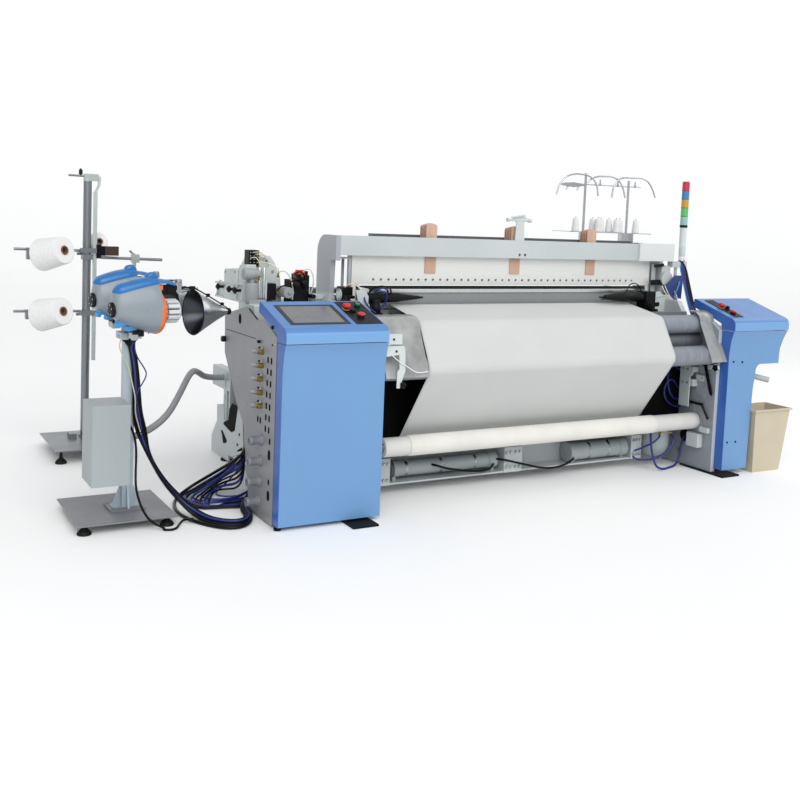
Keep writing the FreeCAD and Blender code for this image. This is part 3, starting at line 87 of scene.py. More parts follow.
class Mat:
    """A procedural material on a Principled shader, with object coordinates in metres."""

    def __init__(self, name, uv=False):
        self.m = bpy.data.materials.new(name)
        self.m.use_nodes = True
        self.t = self.m.node_tree
        self.t.nodes.clear()
        self.out = self.t.nodes.new("ShaderNodeOutputMaterial")
        self.b = self.t.nodes.new("ShaderNodeBsdfPrincipled")
        self.t.links.new(self.b.outputs[0], self.out.inputs[0])
        tc = self.t.nodes.new("ShaderNodeTexCoord")
        self.co = tc.outputs["UV" if uv else "Object"]

    def node(self, kind, **kw):
        n = self.t.nodes.new(kind)
        for k, v in kw.items():
            setattr(n, k, v)
        return n

    def link(self, a, b):
        self.t.links.new(a, b)

    def set(self, name, v):
        self.b.inputs[name].default_value = v

    def scaled(self, s, rot=(0, 0, 0)):
        n = self.node("ShaderNodeMapping")
        n.inputs["Scale"].default_value = s if hasattr(s, "__len__") else (s, s, s)
        n.inputs["Rotation"].default_value = rot
        self.link(self.co, n.inputs["Vector"])
        return n.outputs[0]

    def noise(self, scale, detail=3.0, rough=0.55, stretch=None, distort=0.0):
        n = self.node("ShaderNodeTexNoise")
        n.inputs["Scale"].default_value = scale
        n.inputs["Detail"].default_value = detail
        n.inputs["Roughness"].default_value = rough
        n.inputs["Distortion"].default_value = distort
        self.link(self.scaled(stretch) if stretch else self.co, n.inputs["Vector"])
        return n.outputs["Fac"]

    def wave(self, axis, pitch, distort=0.0, profile="SIN", stretch=None):
        n = self.node("ShaderNodeTexWave", wave_type="BANDS", bands_direction=axis, wave_profile=profile)
        n.inputs["Scale"].default_value = 0.31416 / pitch
        n.inputs["Distortion"].default_value = distort
        n.inputs["Detail"].default_value = 1.0
        self.link(self.scaled(stretch) if stretch else self.co, n.inputs["Vector"])
        return n.outputs["Fac"]

    def ramp(self, fac, stops):
        n = self.node("ShaderNodeValToRGB")
        e = n.color_ramp.elements
        e[0].position, e[0].color = stops[0]
        e[1].position, e[1].color = stops[-1]
        for p, c in stops[1:-1]:
            x = e.new(p)
            x.color = c
        self.link(fac, n.inputs[0])
        return n.outputs[0]

    def span(self, fac, lo, hi, a=0.3, b=0.7):
        n = self.node("ShaderNodeMapRange")
        n.inputs["From Min"].default_value = a
        n.inputs["From Max"].default_value = b
        n.inputs["To Min"].default_value = lo
        n.inputs["To Max"].default_value = hi
        self.link(fac, n.inputs["Value"])
        return n.outputs[0]

    def mix(self, fac, a, b, blend="MIX"):
        n = self.node("ShaderNodeMix", data_type="RGBA", blend_type=blend)
        for sock, v in ((n.inputs[0], fac), (n.inputs[6], a), (n.inputs[7], b)):
            if isinstance(v, (int, float, tuple, list)):
                sock.default_value = v
            else:
                self.link(v, sock)
        return n.outputs[2]

    def math(self, op, a, b=None, c=None):
        n = self.node("ShaderNodeMath", operation=op)
        for i, v in enumerate((a, b, c)):
            if v is None:
                continue
            if isinstance(v, (int, float)):
                n.inputs[i].default_value = v
            else:
                self.link(v, n.inputs[i])
        return n.outputs[0]

    def axes(self):
        if not hasattr(self, "_sep"):
            s = self.node("ShaderNodeSeparateXYZ")
            self.link(self.co, s.inputs[0])
            self._sep = s.outputs
        return self._sep

    def zone(self, lo, hi):
        """1 inside the box (working frame, millimetres), 0 outside."""
        a, b = W(*lo), W(*hi)
        ax = self.axes()
        out = None
        for k in range(3):
            if abs(hi[k] - lo[k]) > 50000:
                continue
            f = self.math("COMPARE", ax[k], (a[k] + b[k]) / 2, abs(b[k] - a[k]) / 2)
            out = f if out is None else self.math("MULTIPLY", out, f)
        return out

    def bump(self, height, strength, dist, after=None):
        n = self.node("ShaderNodeBump")
        n.inputs["Strength"].default_value = strength
        n.inputs["Distance"].default_value = dist
        self.link(height, n.inputs["Height"])
        if after is not None:
            self.link(after, n.inputs["Normal"])
        return n.outputs[0]

    def normal(self, n):
        self.link(n, self.b.inputs["Normal"])

    def color(self, c):
        self.link(c, self.b.inputs["Base Color"])

    def rough(self, r):
        self.link(r, self.b.inputs["Roughness"])


BIG = 1e6


def paint(name, col, rough=0.36, spread=0.08, var=0.05, peel=0.05, cast=0.0, metal=0.0, coat=0.0, zones=(), dirt=0.06):
    """Sprayed enamel: slow tone drift, orange peel, faint dust, and cast grain where asked for. zones: (low, high, colour)."""
    g = Mat(name)
    drift = g.noise(1.7, 2.0)
    fine = g.noise(38.0, 5.0, 0.65)
    base = g.mix(g.span(drift, 0, 1), shade(col, 1 - var), shade(col, 1 + var))
    for lo, hi, c in zones:
        base = g.mix(g.zone(lo, hi), base, c if len(c) == 4 else c)
    base = g.mix(g.span(fine, 0.0, dirt, 0.52, 0.8), base, (0.12, 0.115, 0.10, 1.0))
    g.color(base)
    if max(col[:3]) < 0.02:
        g.set("Specular IOR Level", 0.08)
    g.rough(g.span(g.noise(9.0, 4.0), rough - spread / 2, rough + spread / 2))
    b = g.bump(g.noise(420.0, 2.0), peel, 0.0006)
    if cast:
        b = g.bump(g.noise(150.0, 4.0, 0.7), cast, 0.0012, b)
    g.normal(b)
    g.set("Metallic", metal)
    g.set("Coat Weight", coat)
    g.set("Coat Roughness", 0.15)
    return g


def plastic(name, col, rough=0.4, grain=0.12, var=0.05, zones=(), scale=700.0):
    g = Mat(name)
    base = g.mix(g.span(g.noise(6.0, 3.0), 0, 1), shade(col, 1 - var), shade(col, 1 + var))
    for lo, hi, c in zones:
        base = g.mix(g.zone(lo, hi), base, c)
    dark = max(col[:3]) < 0.02
    base = g.mix(g.span(g.noise(60.0, 5.0, 0.7), 0.0, 0.006 if dark else 0.05, 0.55, 0.8), base, (0.3, 0.29, 0.27, 1.0))
    g.color(base)
    if dark:
        g.set("Specular IOR Level", 0.22)
    g.rough(g.span(g.noise(14.0, 4.0), rough - 0.06, rough + 0.08))
    g.normal(g.bump(g.noise(scale, 3.0, 0.6), grain, 0.0004))
    return g


def metal(name, col, rough=0.28, stretch=(1, 1, 1), strength=0.10, var=0.08, zones=(), scale=260.0, met=1.0):
    """Brushed, ground or plated metal: streaks along the short direction of stretch."""
    g = Mat(name)
    streak = g.noise(scale, 3.0, 0.6, stretch)
    base = g.mix(g.span(streak, 0, 1), shade(col, 1 - var), shade(col, 1 + var))
    for lo, hi, c in zones:
        base = g.mix(g.zone(lo, hi), base, c)
    g.color(base)
    g.rough(g.math("ADD", g.span(streak, -0.05, 0.05), g.span(g.noise(7.0, 4.0), rough - 0.05, rough + 0.07)))
    g.normal(g.bump(streak, strength, 0.0003))
    g.set("Metallic", met)
    return g


def yarn(name, col, axis, pitch, rough=0.85, strength=0.5, var=0.05, uv=False, fuzz=0.3):
    g = Mat(name, uv)
    lines = g.wave(axis, pitch, 0.6)
    soft = g.noise(55.0, 5.0, 0.65)
    base = g.mix(g.span(soft, 0, 1), shade(col, 1 - var), shade(col, 1 + var))
    base = g.mix(g.span(lines, 0.28, 0.0, 0.0, 0.6), base, shade(col, 0.62))
    g.color(base)
    g.rough(g.span(soft, rough - 0.05, rough + 0.1))
    g.normal(g.bump(g.noise(900.0, 3.0, 0.6), 0.25, 0.0004, g.bump(lines, strength, pitch * 0.4)))
    g.set("Sheen Weight", fuzz)
    g.set("Sheen Roughness", 0.5)
    return g


LIGHT = rgb(186, 192, 194)
BLUE = rgb(103, 146, 192)
DEEP = rgb(54, 98, 176)
HOOD = rgb(86, 130, 188)
GREYP = rgb(142, 144, 148)
CREAM = rgb(226, 219, 200)

M = {}
# The first zone paints the inner side of the right side frame (x 1240..1252.5) a darker grey blue: painted shade on the
# face turned away from the light. The second paints the left arch a darker grey: painted shade.
M["frame"] = paint("enamel_light", LIGHT, 0.40, cast=0.25, zones=[((1240, 30, 12), (1252.5, 460, 1000), rgb(140, 147, 154)), ((-1420, 380, 1150), (-1042, 1100, 1800), rgb(166, 170, 177))])
# The dark zone along the back of the top beam (y 728..790, z 1430..1510) is painted shade on the rear rail.
M["beam"] = paint("enamel_beam", rgb(190, 197, 198), 0.36, zones=[((1030, 560, 1300), (1400, 604, 1500), rgb(214, 217, 216)),
                                                                    ((-1240, 728, 1430), (1240, 790, 1510), rgb(92, 95, 99))])
M["blue"] = paint("enamel_blue", BLUE, 0.34, var=0.03, peel=0.06, zones=[((-1843, -70, 0), (-1838.6, 60, 957), DEEP), ((1279, -70, 0), (1283.2, 60, 957), DEEP)])
# The paler blue band along the front edge of both console noses (y below -24, z 950..1012) is a painted highlight.
M["blue_hood"] = paint("enamel_blue_hood", HOOD, 0.32, var=0.03, peel=0.06, zones=[((-1850, -70, 950), (1800, -24, 1012), rgb(112, 158, 206)), ((-1843, -70, 950), (-1838.6, 330, 1140), DEEP), ((1279, -70, 950), (1283.6, 330, 1140), DEEP)])
M["deep"] = paint("enamel_deep_blue", DEEP, 0.36)
M["panel"] = paint("enamel_grey_panel", GREYP, 0.42, var=0.04, dirt=0.10)
M["inner"] = paint("enamel_inner", rgb(150, 153, 156), 0.45)
M["dark"] = paint("enamel_dark", rgb(70, 73, 77), 0.45)
M["black"] = plastic("black_plastic", rgb(9, 9, 11), 0.42)
M["cleargrey"] = plastic("clear_grey_plastic", rgb(132, 134, 140), 0.25, 0.04)
M["unions"] = paint("union_enamel", rgb(122, 125, 132), 0.4)
M["cablenavy"] = plastic("navy_lead", rgb(30, 46, 122), 0.36, 0.05)
M["wing"] = paint("smoky_sheet", rgb(146, 148, 144), 0.3, var=0.22, peel=0.02)
M["cablecream"] = plastic("cream_lead", rgb(196, 188, 160), 0.4, 0.05)
M["blackmetal"] = metal("black_oxide", rgb(12, 12, 14), 0.42, met=0.5, zones=[((-1260, 330, 990), (1260, 377, 1047), rgb(150, 154, 156))])
M["rubber"] = plastic("black_rubber", rgb(12, 12, 13), 0.6, 0.3)
M["steel"] = metal("bright_steel", rgb(176, 178, 180), 0.26)
M["chrome"] = metal("plated_steel", rgb(196, 198, 201), 0.16, strength=0.04)
M["alu"] = metal("brushed_aluminium", rgb(200, 203, 204), 0.34, (0.06, 1, 1))
# Below z 1199.6 the heald frames are painted near black: painted shadow of the shed on their lower parts.
M["heald"] = metal("anodised_rail_painted_shed_shadow", rgb(232, 233, 230), 0.46, (0.02, 1, 1), 0.06, 0.03, met=0.35, zones=[((-1106, 640, 790), (1156, 730, 1199.6), rgb(30, 31, 34))])
M["castiron"] = paint("painted_casting", rgb(150, 154, 156), 0.5, cast=0.5)
M["white"] = plastic("white_plastic", rgb(232, 232, 229), 0.38)
M["redb"] = plastic("red_button", rgb(200, 30, 30), 0.24, 0.04)
M["greenb"] = plastic("green_button", rgb(26, 132, 70), 0.24, 0.04)
M["yellow"] = plastic("yellow_ring", rgb(232, 168, 38), 0.35)
M["switch"] = plastic("dark_blue_plate", rgb(22, 26, 37), 0.42, 0.2)
M["orange"] = plastic("orange_plastic", rgb(238, 104, 38), 0.30, 0.05)
M["fblue"] = plastic("blue_plastic", rgb(34, 108, 174), 0.28, 0.05)
M["fgrey"] = plastic("feeder_grey", rgb(134, 143, 150), 0.30, 0.06, 0.04)
M["drum"] = plastic("drum_white", rgb(206, 210, 214), 0.32, 0.05)
M["cone"] = metal("dark_spun_metal", rgb(84, 88, 94), 0.30, (1, 1, 1), 0.08, 0.12)
M["brass"] = metal("brass", rgb(158, 160, 162), 0.34, zones=[((-1930, 180, 560), (-1837, 260, 930), rgb(196, 160, 90))])
M["brasshex"] = metal("brass_hex", rgb(176, 152, 84), 0.3)
M["tray"] = plastic("pale_green_tray", rgb(176, 188, 184), 0.3)
M["deepplate"] = paint("dark_blue_plate_paint", rgb(40, 58, 120), 0.36)
M["wire"] = metal("heald_wire", rgb(120, 122, 124), 0.4)
M["castlight"] = paint("casting_light", rgb(196, 203, 202), 0.42, cast=0.3)
M["coneouter"] = metal("spun_aluminium", rgb(186, 188, 190), 0.24, (1, 1, 1), 0.05, 0.06)
# The inner face of the cone is the same spun metal as the outside, given a dark tone: painted shade.
M["coneinner"] = metal("spun_metal_inner_painted_shade", rgb(70, 73, 78), 0.30, (1, 1, 1), 0.06, 0.10)
M["galv"] = metal("galvanised_post", rgb(132, 137, 141), 0.36, (1, 1, 0.1), 0.08, 0.10, met=0.85, zones=[
    ((-2312, 2060, 400), (-2262, 2100, 1812), rgb(200, 208, 208)), ((-2376, 2052, 1758), (-2286, 2108, 1808), rgb(186, 196, 192)),
    ((-2292, 2046, 1262), (-2238, 2124, 1352), rgb(26, 26, 28)), ((-2238, 2046, 1276), (-2148, 2114, 1342), rgb(84, 70, 66)),
    ((-2062, 2054, 1200), (-2008, 2106, 1320), rgb(190, 198, 196)), ((-2410, 2066, 1796), (-2380, 2094, 1842), rgb(40, 42, 44)),
    ((-2362, 2088, 870), (-2318, 2162, 1330), rgb(70, 74, 78))])
M["galvlight"] = metal("plated_rod", rgb(206, 212, 213), 0.26, (1, 1, 0.1), 0.05, 0.05)
M["lightgrey"] = plastic("light_grey_plastic", rgb(206, 214, 214), 0.4)
M["smoke"] = plastic("smoke_grey", rgb(104, 92, 88), 0.3)
# Near black, used where the machine's inside shows: behind the panel slots, in the panel seam, in the bracket openings
# and below the rollers; painted shade.
M["inside"] = paint("painted_shade_black", rgb(9, 9, 11), 0.7, dirt=0.01)
M["redplastic"] = plastic("red_connector", rgb(205, 58, 40), 0.35)
M["greytube"] = plastic("grey_tube", rgb(150, 154, 157), 0.4)
M["bin"] = plastic("beige_plastic", rgb(194, 183, 160), 0.5, 0.25, 0.03, scale=320.0)
M["box"] = paint("enamel_box", rgb(152, 160, 162), 0.44)
M["plate"] = paint("stand_plate", rgb(128, 130, 134), 0.46, metal=0.2, dirt=0.12, zones=[
    ((-2560, 430, 64), (-2370, 600, 970), rgb(172, 186, 194)), ((-2485, 400, 918), (-2433, 444.6, 968), rgb(24, 24, 27)),
    ((-2424, 438, 903), (-2384, 482, 952), rgb(30, 31, 34)), ((-2490, 350, 960), (-2445, 870, 1000), rgb(150, 154, 156))])
M["post"] = paint("stand_post", rgb(176, 190, 198), 0.4)
M["bluehose"] = plastic("blue_hose", rgb(34, 42, 120), 0.3, 0.05)
M["cablelight"] = plastic("light_blue_cable", rgb(58, 140, 200), 0.35, 0.05)
M["cablewhite"] = plastic("white_cable", rgb(222, 220, 205), 0.4, 0.05)
M["cableyellow"] = plastic("ochre_cable", rgb(190, 170, 110), 0.4, 0.05)
M["cableblack"] = plastic("black_cable", rgb(5, 5, 6), 0.34, 0.08)
M["olive"] = paint("olive_bracket", rgb(120, 116, 78), 0.45)

# fabrics
g = Mat("greige_cloth", uv=True)
warp_l, weft_l = g.wave("X", 0.0011), g.wave("Y", 0.0013)
weave = g.math("MAXIMUM", warp_l, weft_l)
slub = g.noise(60.0, 4.0, 0.7, (0.5, 6.0, 1))
broad = g.noise(2.2, 2.0)
col = g.mix(g.span(broad, 0, 1), rgb(197, 199, 198), rgb(203, 205, 203))
col = g.mix(g.span(slub, 0, 0.35, 0.5, 0.8), col, rgb(194, 195, 192))
col = g.mix(g.span(weave, 0.25, 0.0, 0.35, 0.9), col, rgb(172, 173, 170))
g.color(col)
g.rough(g.span(slub, 0.82, 0.94))
g.normal(g.bump(weave, 0.35, 0.0005, g.bump(slub, 0.12, 0.0006)))
g.set("Sheen Weight", 0.25)
M["cloth"] = g
M["warp"] = yarn("warp_threads", rgb(205, 206, 203), "X", 0.0016, uv=True)
M["wound"] = yarn("wound_yarn", rgb(236, 236, 234), "Y", 0.0024, uv=True, strength=0.6)
M["thread"] = yarn("white_thread", rgb(214, 214, 211), "X", 0.0009)
M["core"] = plastic("roll_sleeve", rgb(206, 203, 196), 0.55, 0.15)
M["coreleft"] = plastic("roll_sleeve_pale", rgb(206, 205, 202), 0.5, 0.15)
M["kraft"] = plastic("paper_core", rgb(120, 88, 70), 0.8, 0.5)

# roller covering: fine grained rubber, blue grey
g = Mat("roller_cover")
grain = g.noise(800.0, 3.0, 0.6)
bands = g.noise(14.0, 3.0, 0.5, (6.0, 0.4, 0.4))
g.color(g.mix(g.span(bands, 0, 1), rgb(118, 123, 132), rgb(138, 143, 151)))
g.rough(g.span(bands, 0.42, 0.58))
g.normal(g.bump(grain, 0.35, 0.0005))
M["roller"] = g
# A darker copy of the roller cover for the press roller: painted shade of the roller lying in shadow between the
# others.
g = Mat("roller_cover_painted_shade")
g.color(g.mix(g.span(g.noise(16.0, 3.0, 0.5, (6, 0.4, 0.4)), 0, 1), rgb(94, 98, 106), rgb(112, 116, 124)))
g.rough(g.span(g.noise(30.0, 4.0), 0.4, 0.56))
g.normal(g.bump(g.noise(800.0, 3.0, 0.6), 0.3, 0.0005))
M["roller2"] = g

# wood
g = Mat("beech")
rings = g.noise(30.0, 4.0, 0.6, (1.0, 4.0, 0.12), 0.6)
fibre = g.noise(420.0, 3.0, 0.6, (1.0, 1.0, 0.05))
g.color(g.mix(g.zone((-90, 598, 1480), (130, 636, 1660)), g.mix(g.span(fibre, 0, 0.5), g.mix(g.span(rings, 0, 1), rgb(196, 160, 140), rgb(210, 176, 156)), rgb(180, 144, 124)), rgb(196, 202, 202)))
g.rough(g.span(rings, 0.42, 0.58))
g.normal(g.bump(fibre, 0.25, 0.0005))
M["wood"] = g

# reed: upright dents between bright caps
g = Mat("reed_dents")
dent = g.wave("X", 0.0014)
g.color(g.mix(g.span(dent, 1, 0), rgb(186, 189, 191), rgb(140, 143, 146)))
g.rough(g.span(dent, 0.26, 0.5))
g.normal(g.bump(dent, 0.6, 0.0006))
g.set("Metallic", 0.2)
M["reed"] = g
M["reedcap"] = metal("reed_cap", rgb(214, 216, 216), 0.28, (0.04, 1, 1), 0.06)

# clear guard
g = Mat("clear_guard")
cloud = g.noise(7.0, 3.0, 0.6, (1.0, 1.0, 0.6))
g.color(g.mix(g.span(cloud, 0, 1), rgb(150, 152, 152), rgb(182, 184, 183)))
g.rough(g.span(g.noise(12.0, 4.0), 0.10, 0.22))
g.link(g.span(cloud, 0.62, 0.80), g.b.inputs["Alpha"])
M["clear"] = g

# screen
g = Mat("screen_glass")
smear = g.noise(14.0, 4.0, 0.6)
g.color(g.mix(g.span(smear, 0, 1), rgb(98, 100, 105), rgb(110, 113, 118)))
g.rough(g.span(smear, 0.12, 0.24))
g.set("Coat Weight", 0.5)
M["screen"] = g
M["bezel"] = plastic("screen_frame", rgb(38, 40, 44), 0.45, 0.2)


def lamp(name, col, glow):
    g = Mat(name)
    rings = g.wave("Z", 0.004)
    g.color(g.mix(g.span(rings, 0, 0.4), col, shade(col, 0.55)))
    g.rough(g.span(rings, 0.12, 0.25))
    g.normal(g.bump(rings, 0.4, 0.0008))
    g.set("Emission Color", col)
    g.set("Emission Strength", glow)
    return g


M["lred"] = lamp("lamp_red", rgb(196, 40, 62), 0.12)
M["lblue"] = lamp("lamp_blue", rgb(52, 124, 182), 0.12)
M["lamber"] = lamp("lamp_amber", rgb(196, 148, 52), 0.12)
M["lgreen"] = lamp("lamp_green", rgb(84, 184, 92), 0.12)
M["lclear"] = lamp("lamp_clear", rgb(150, 190, 186), 0.06)

# ribbed conduit
g = Mat("conduit", uv=True)
ribs = g.wave("X", 0.006)
g.color(g.mix(g.span(ribs, 0, 1), rgb(120, 124, 128), rgb(176, 180, 184)))
g.rough(g.span(ribs, 0.4, 0.6))
g.normal(g.bump(ribs, 0.8, 0.002))
M["conduit"] = g


def give(node, key):
    o = NODE[node]
    mat = M[key].m if isinstance(M[key], Mat) else M[key]
    if not o.data.materials:
        o.data.materials.append(mat)
    for s in o.material_slots:
        s.material = mat


for node, key in {
    "left_side_frame": "frame", "right_side_frame": "frame", "cross_beams": "frame", "levelling_feet": "rubber", "left_side_panel": "panel",
    "air_fittings": "brass", "left_control_box": "inner", "left_cabinet_door": "blue", "left_console": "blue_hood", "touch_screen": "bezel",
    "switch_panels": "switch", "left_stop_button": "redb", "left_green_button": "greenb", "left_red_button": "redb",
    "right_stop_button": "redb", "right_black_button": "black", "right_red_button": "redb", "right_cabinet_cover": "blue",
    "right_console": "blue_hood", "arches": "frame", "top_beam": "beam", "heald_guides": "wood", "heald_frame_1": "heald", "heald_frame_2": "heald",
    "heald_frame_3": "heald", "heald_frame_4": "heald", "sley": "castiron", "reed": "reed", "weft_nozzles": "steel", "temples": "blackmetal",
    "breast_roller": "roller", "take_up_roller": "roller", "press_roller": "roller2", "cloth_roll": "core", "woven_cloth": "cloth",
    "warp_sheet": "warp", "warp_beam": "thread", "back_rest_roller": "chrome", "warp_stop_motion": "steel", "roll_lock_lever": "blackmetal",
    "tension_lever": "blackmetal", "clear_guards": "clear", "air_tanks": "box", "drive_housing": "castiron", "signal_tower": "galvlight",
    "bobbin_stand": "chrome", "selvage_bobbins": "thread", "feeder_stand": "plate", "feeder_control_box": "box", "weft_feeder_front": "fgrey",
    "weft_feeder_rear": "fgrey", "winding_disc_front": "chrome", "winding_disc_rear": "chrome", "balloon_cones": "cone", "yarn_stand": "galv",
    "yarn_packages": "thread", "waste_bin": "bin", "feeder_cable_bundle": "cableblack", "feeder_conduit": "conduit", "blue_air_hose": "bluehose",
}.items():
    give(node, key)


# ------------------------------------------------------------------------------------------------ mesh builders
def T(origin=(0, 0, 0), axis=None, turn=0.0):
    """Local millimetres to the row frame: +Z of the local frame along axis, then placed at origin (working frame)."""
    rot = Matrix.Identity(4)
    if axis is not None:
        rot = Vector((0, 0, 1)).rotation_difference(Vector(axis).normalized()).to_matrix().to_4x4()
    sc = Matrix.Scale(0.001, 4)
    return Matrix.Translation(W(*origin)) @ rot @ Matrix.Rotation(turn, 4, "Z") @ sc


WORLD = Matrix.Translation(W(0, 0, 0)) @ Matrix.Scale(0.001, 4)


class Batch:
    """Many small solids of one material on one body, gathered into one mesh."""

    def __init__(self, name, mat, body="frame", slot=None, bevel=0.0, smooth=35.0):
        self.name, self.mat, self.body, self.slot, self.bevel, self.smooth = name, mat, body, slot, bevel, smooth
        self.v, self.f = [], []

    def add(self, verts, faces, mtx=None):
        mtx = mtx or WORLD
        k = len(self.v)
        self.v += [mtx @ Vector(p) for p in verts]
        self.f += [tuple(i + k for i in f) for f in faces]
        return self

    def box(self, x0, x1, y0, y1, z0, z1, mtx=None):
        v = [(x, y, z) for x in (x0, x1) for y in (y0, y1) for z in (z0, z1)]
        f = [(0, 1, 3, 2), (4, 6, 7, 5), (0, 4, 5, 1), (2, 3, 7, 6), (0, 2, 6, 4), (1, 5, 7, 3)]
        return self.add(v, f, mtx)

    def lathe(self, prof, mtx, seg=32, closed=False):
        v, f, ring = [], [], []
        for r, z in prof:
            if r < 1e-6:
                ring.append([len(v)])
                v.append((0, 0, z))
            else:
                ring.append(list(range(len(v), len(v) + seg)))
                v += [(r * math.cos(2 * math.pi * k / seg), r * math.sin(2 * math.pi * k / seg), z) for k in range(seg)]
        pairs = list(zip(ring, ring[1:])) + ([(ring[-1], ring[0])] if closed else [])
        for a, b in pairs:
            for k in range(seg):
                n = (k + 1) % seg
                q = [a[k % len(a)], a[n % len(a)], b[n % len(b)], b[k % len(b)]]
                q = [x for i, x in enumerate(q) if x not in q[:i]]
                if len(q) > 2:
                    f.append(tuple(q))
        return self.add(v, f, mtx)

    def cyl(self, p, d, r, h, seg=20, r2=None):
        return self.lathe([(0, 0), (r, 0), (r if r2 is None else r2, h), (0, h)], T(p, d), seg)

    def rod(self, a, b, r, seg=14):
        d = Vector(b) - Vector(a)
        return self.cyl(a, d, r, d.length, seg)

    def hexbolt(self, p, d, r=9, h=7):
        """Washer and hexagon head."""
        self.cyl(p, d, r * 1.25, 2.0, 20)
        q = Vector(p) + Vector(d).normalized() * 2.0
        return self.lathe([(0, 0), (r, 0), (r, h - 1), (r * 0.86, h), (0, h)], T(q, d), 6)

    def capscrew(self, p, d, r=6, h=6):
        return self.lathe([(0, h - 3), (r * 0.5, h - 3), (r * 0.5, h), (r * 0.9, h), (r, h - 0.8), (r, 0), (0, 0)], T(p, d), 18)

    def prism(self, pts, a, b, plane="YZ", mtx=None):
        n = len(pts)
        put = {"YZ": lambda u, w, t: (t, u, w), "XZ": lambda u, w, t: (u, t, w), "XY": lambda u, w, t: (u, w, t)}[plane]
        v = [put(u, w, a) for u, w in pts] + [put(u, w, b) for u, w in pts]
        f = [tuple(range(n)), tuple(range(2 * n - 1, n - 1, -1))] + [(i, n + i, n + (i + 1) % n, (i + 1) % n) for i in range(n)]
        return self.add(v, f, mtx)

    def build(self, declare=True):
        me = bpy.data.meshes.new(self.name)
        me.from_pydata([tuple(p) for p in self.v], [], self.f)
        bm = bmesh.new()
        bm.from_mesh(me)
        bmesh.ops.recalc_face_normals(bm, faces=bm.faces)
        bm.to_mesh(me)
        bm.free()
        o = bpy.data.objects.new(self.name, me)
        bpy.context.scene.collection.objects.link(o)
        me.materials.append(M[self.mat].m)
        if self.bevel:
            bv = o.modifiers.new("edge", "BEVEL")
            bv.width = self.bevel / 1000.0
            bv.segments = 2
            bv.limit_method = "ANGLE"
            bv.angle_limit = math.radians(40)
            bv.harden_normals = False
        smooth_by_angle(o, self.smooth)
        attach(o, self.body)
        return o


def smooth_by_angle(o, deg):
    me = o.data
    bm = bmesh.new()
    bm.from_mesh(me)
    lim = math.radians(deg)
    for f in bm.faces:
        f.smooth = True
    for e in bm.edges:
        e.smooth = not (len(e.link_faces) == 2 and e.calc_face_angle(0.0) > lim)
    bm.to_mesh(me)
    bm.free()


def obj_from(name, verts, faces, mat, body, uvs=None, smooth=35.0, ride=True):
    me = bpy.data.meshes.new(name)
    me.from_pydata([tuple(p) for p in verts], [], faces)
    if uvs is not None:
        layer = me.uv_layers.new(name="UVMap")
        for poly in me.polygons:
            for li in poly.loop_indices:
                layer.data[li].uv = uvs[me.loops[li].vertex_index]
    o = bpy.data.objects.new(name, me)
    bpy.context.scene.collection.objects.link(o)
    me.materials.append(M[mat].m)
    smooth_by_angle(o, smooth)
    if ride:
        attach(o, body)
    return o


def curve(name, pts, r, mat, body="frame", res=10):
    """A smooth round cord through control points (working frame, millimetres)."""
    cu = bpy.data.curves.new(name, "CURVE")
    cu.dimensions = "3D"
    cu.bevel_depth = 1.0
    cu.bevel_resolution = 4
    cu.use_fill_caps = True
    sp = cu.splines.new("NURBS")
    sp.points.add(len(pts) - 1)
    for p, q in zip(sp.points, pts):
        v = W(*q)
        p.co = (v.x, v.y, v.z, 1.0)
        p.radius = r / 1000.0
    sp.order_u = 3
    sp.use_endpoint_u = True
    sp.resolution_u = res
    o = bpy.data.objects.new(name, cu)
    bpy.context.scene.collection.objects.link(o)
    cu.materials.append(M[mat].m)
    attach(o, body)
    return o


def spline_length(o):
    """Length of the curve's own line, in metres."""
    cu = o.data
    keep, caps = cu.bevel_depth, cu.use_fill_caps
    cu.bevel_depth = 0.0
    dg = bpy.context.evaluated_depsgraph_get()
    dg.update()
    me = bpy.data.meshes.new_from_object(o.evaluated_get(dg), depsgraph=dg)
    total = 0.0
    for e in me.edges:
        a, b = e.vertices
        total += (me.vertices[a].co - me.vertices[b].co).length
    bpy.data.meshes.remove(me)
    cu.bevel_depth = keep
    return total


SHORT = ("terminal_wire", "solenoid_lead", "temple_hose", "temple_arc", "corner_", "head_lead", "left_guard_cord", "round_tank_hose_3")


def cord(name, pts, r, mat, replaces=()):
    o = curve(name, pts, r, mat)
    if name.startswith(SHORT):
        return o
    for n in replaces:
        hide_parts(n)
    spline_length(o)
    return o


# ------------------------------------------------------------------------------------------------ cords
BASE = [(-2468, 458, 934.7), (-2468, 458, 905), (-2454, 453, 850), (-2443, 449, 760), (-2437, 447, 660), (-2432, 446, 560), (-2413, 446, 467), (-2371, 440, 329), (-2300, 415, 200),
        (-2227, 385, 112), (-2160, 332, 46), (-2109, 270, 18), (-2050, 200, 12), (-1960, 160, 12), (-1888, 240, 12), (-1864, 400, 13), (-1810, 500, 20),
        (-1735, 545, 110), (-1690, 548, 250), (-1668, 541, 430), (-1660, 541, 619.2)]
cord("feeder_cable_bundle_sheath", BASE, 11, "cableblack",
     replaces=["feeder_cable_bundle"])
cord("feeder_conduit_hose",
     [(-2560, 490.3, 360), (-2560, 630, 360), (-2430, 745, 350), (-2290, 790, 375), (-2160, 850, 440), (-2050, 980, 540), (-1930, 1160, 640),
      (-1820, 1385, 605), (-1738, 1450, 545), (-1620.3, 1450, 545)], 19, "conduit", replaces=["feeder_conduit"])
cord("blue_air_hose_line",
     [(-1290.3, 900, 230), (-1480, 893, 215), (-1700, 868, 150), (-1900, 815, 75), (-2040, 765, 22), (-2115, 680, 9.5), (-2060, 590, 9),
      (-1940, 560, 9), (-1820, 600, 14), (-1700, 640, 50), (-1602.2, 650, 72)], 8, "bluehose", replaces=["blue_air_hose"])


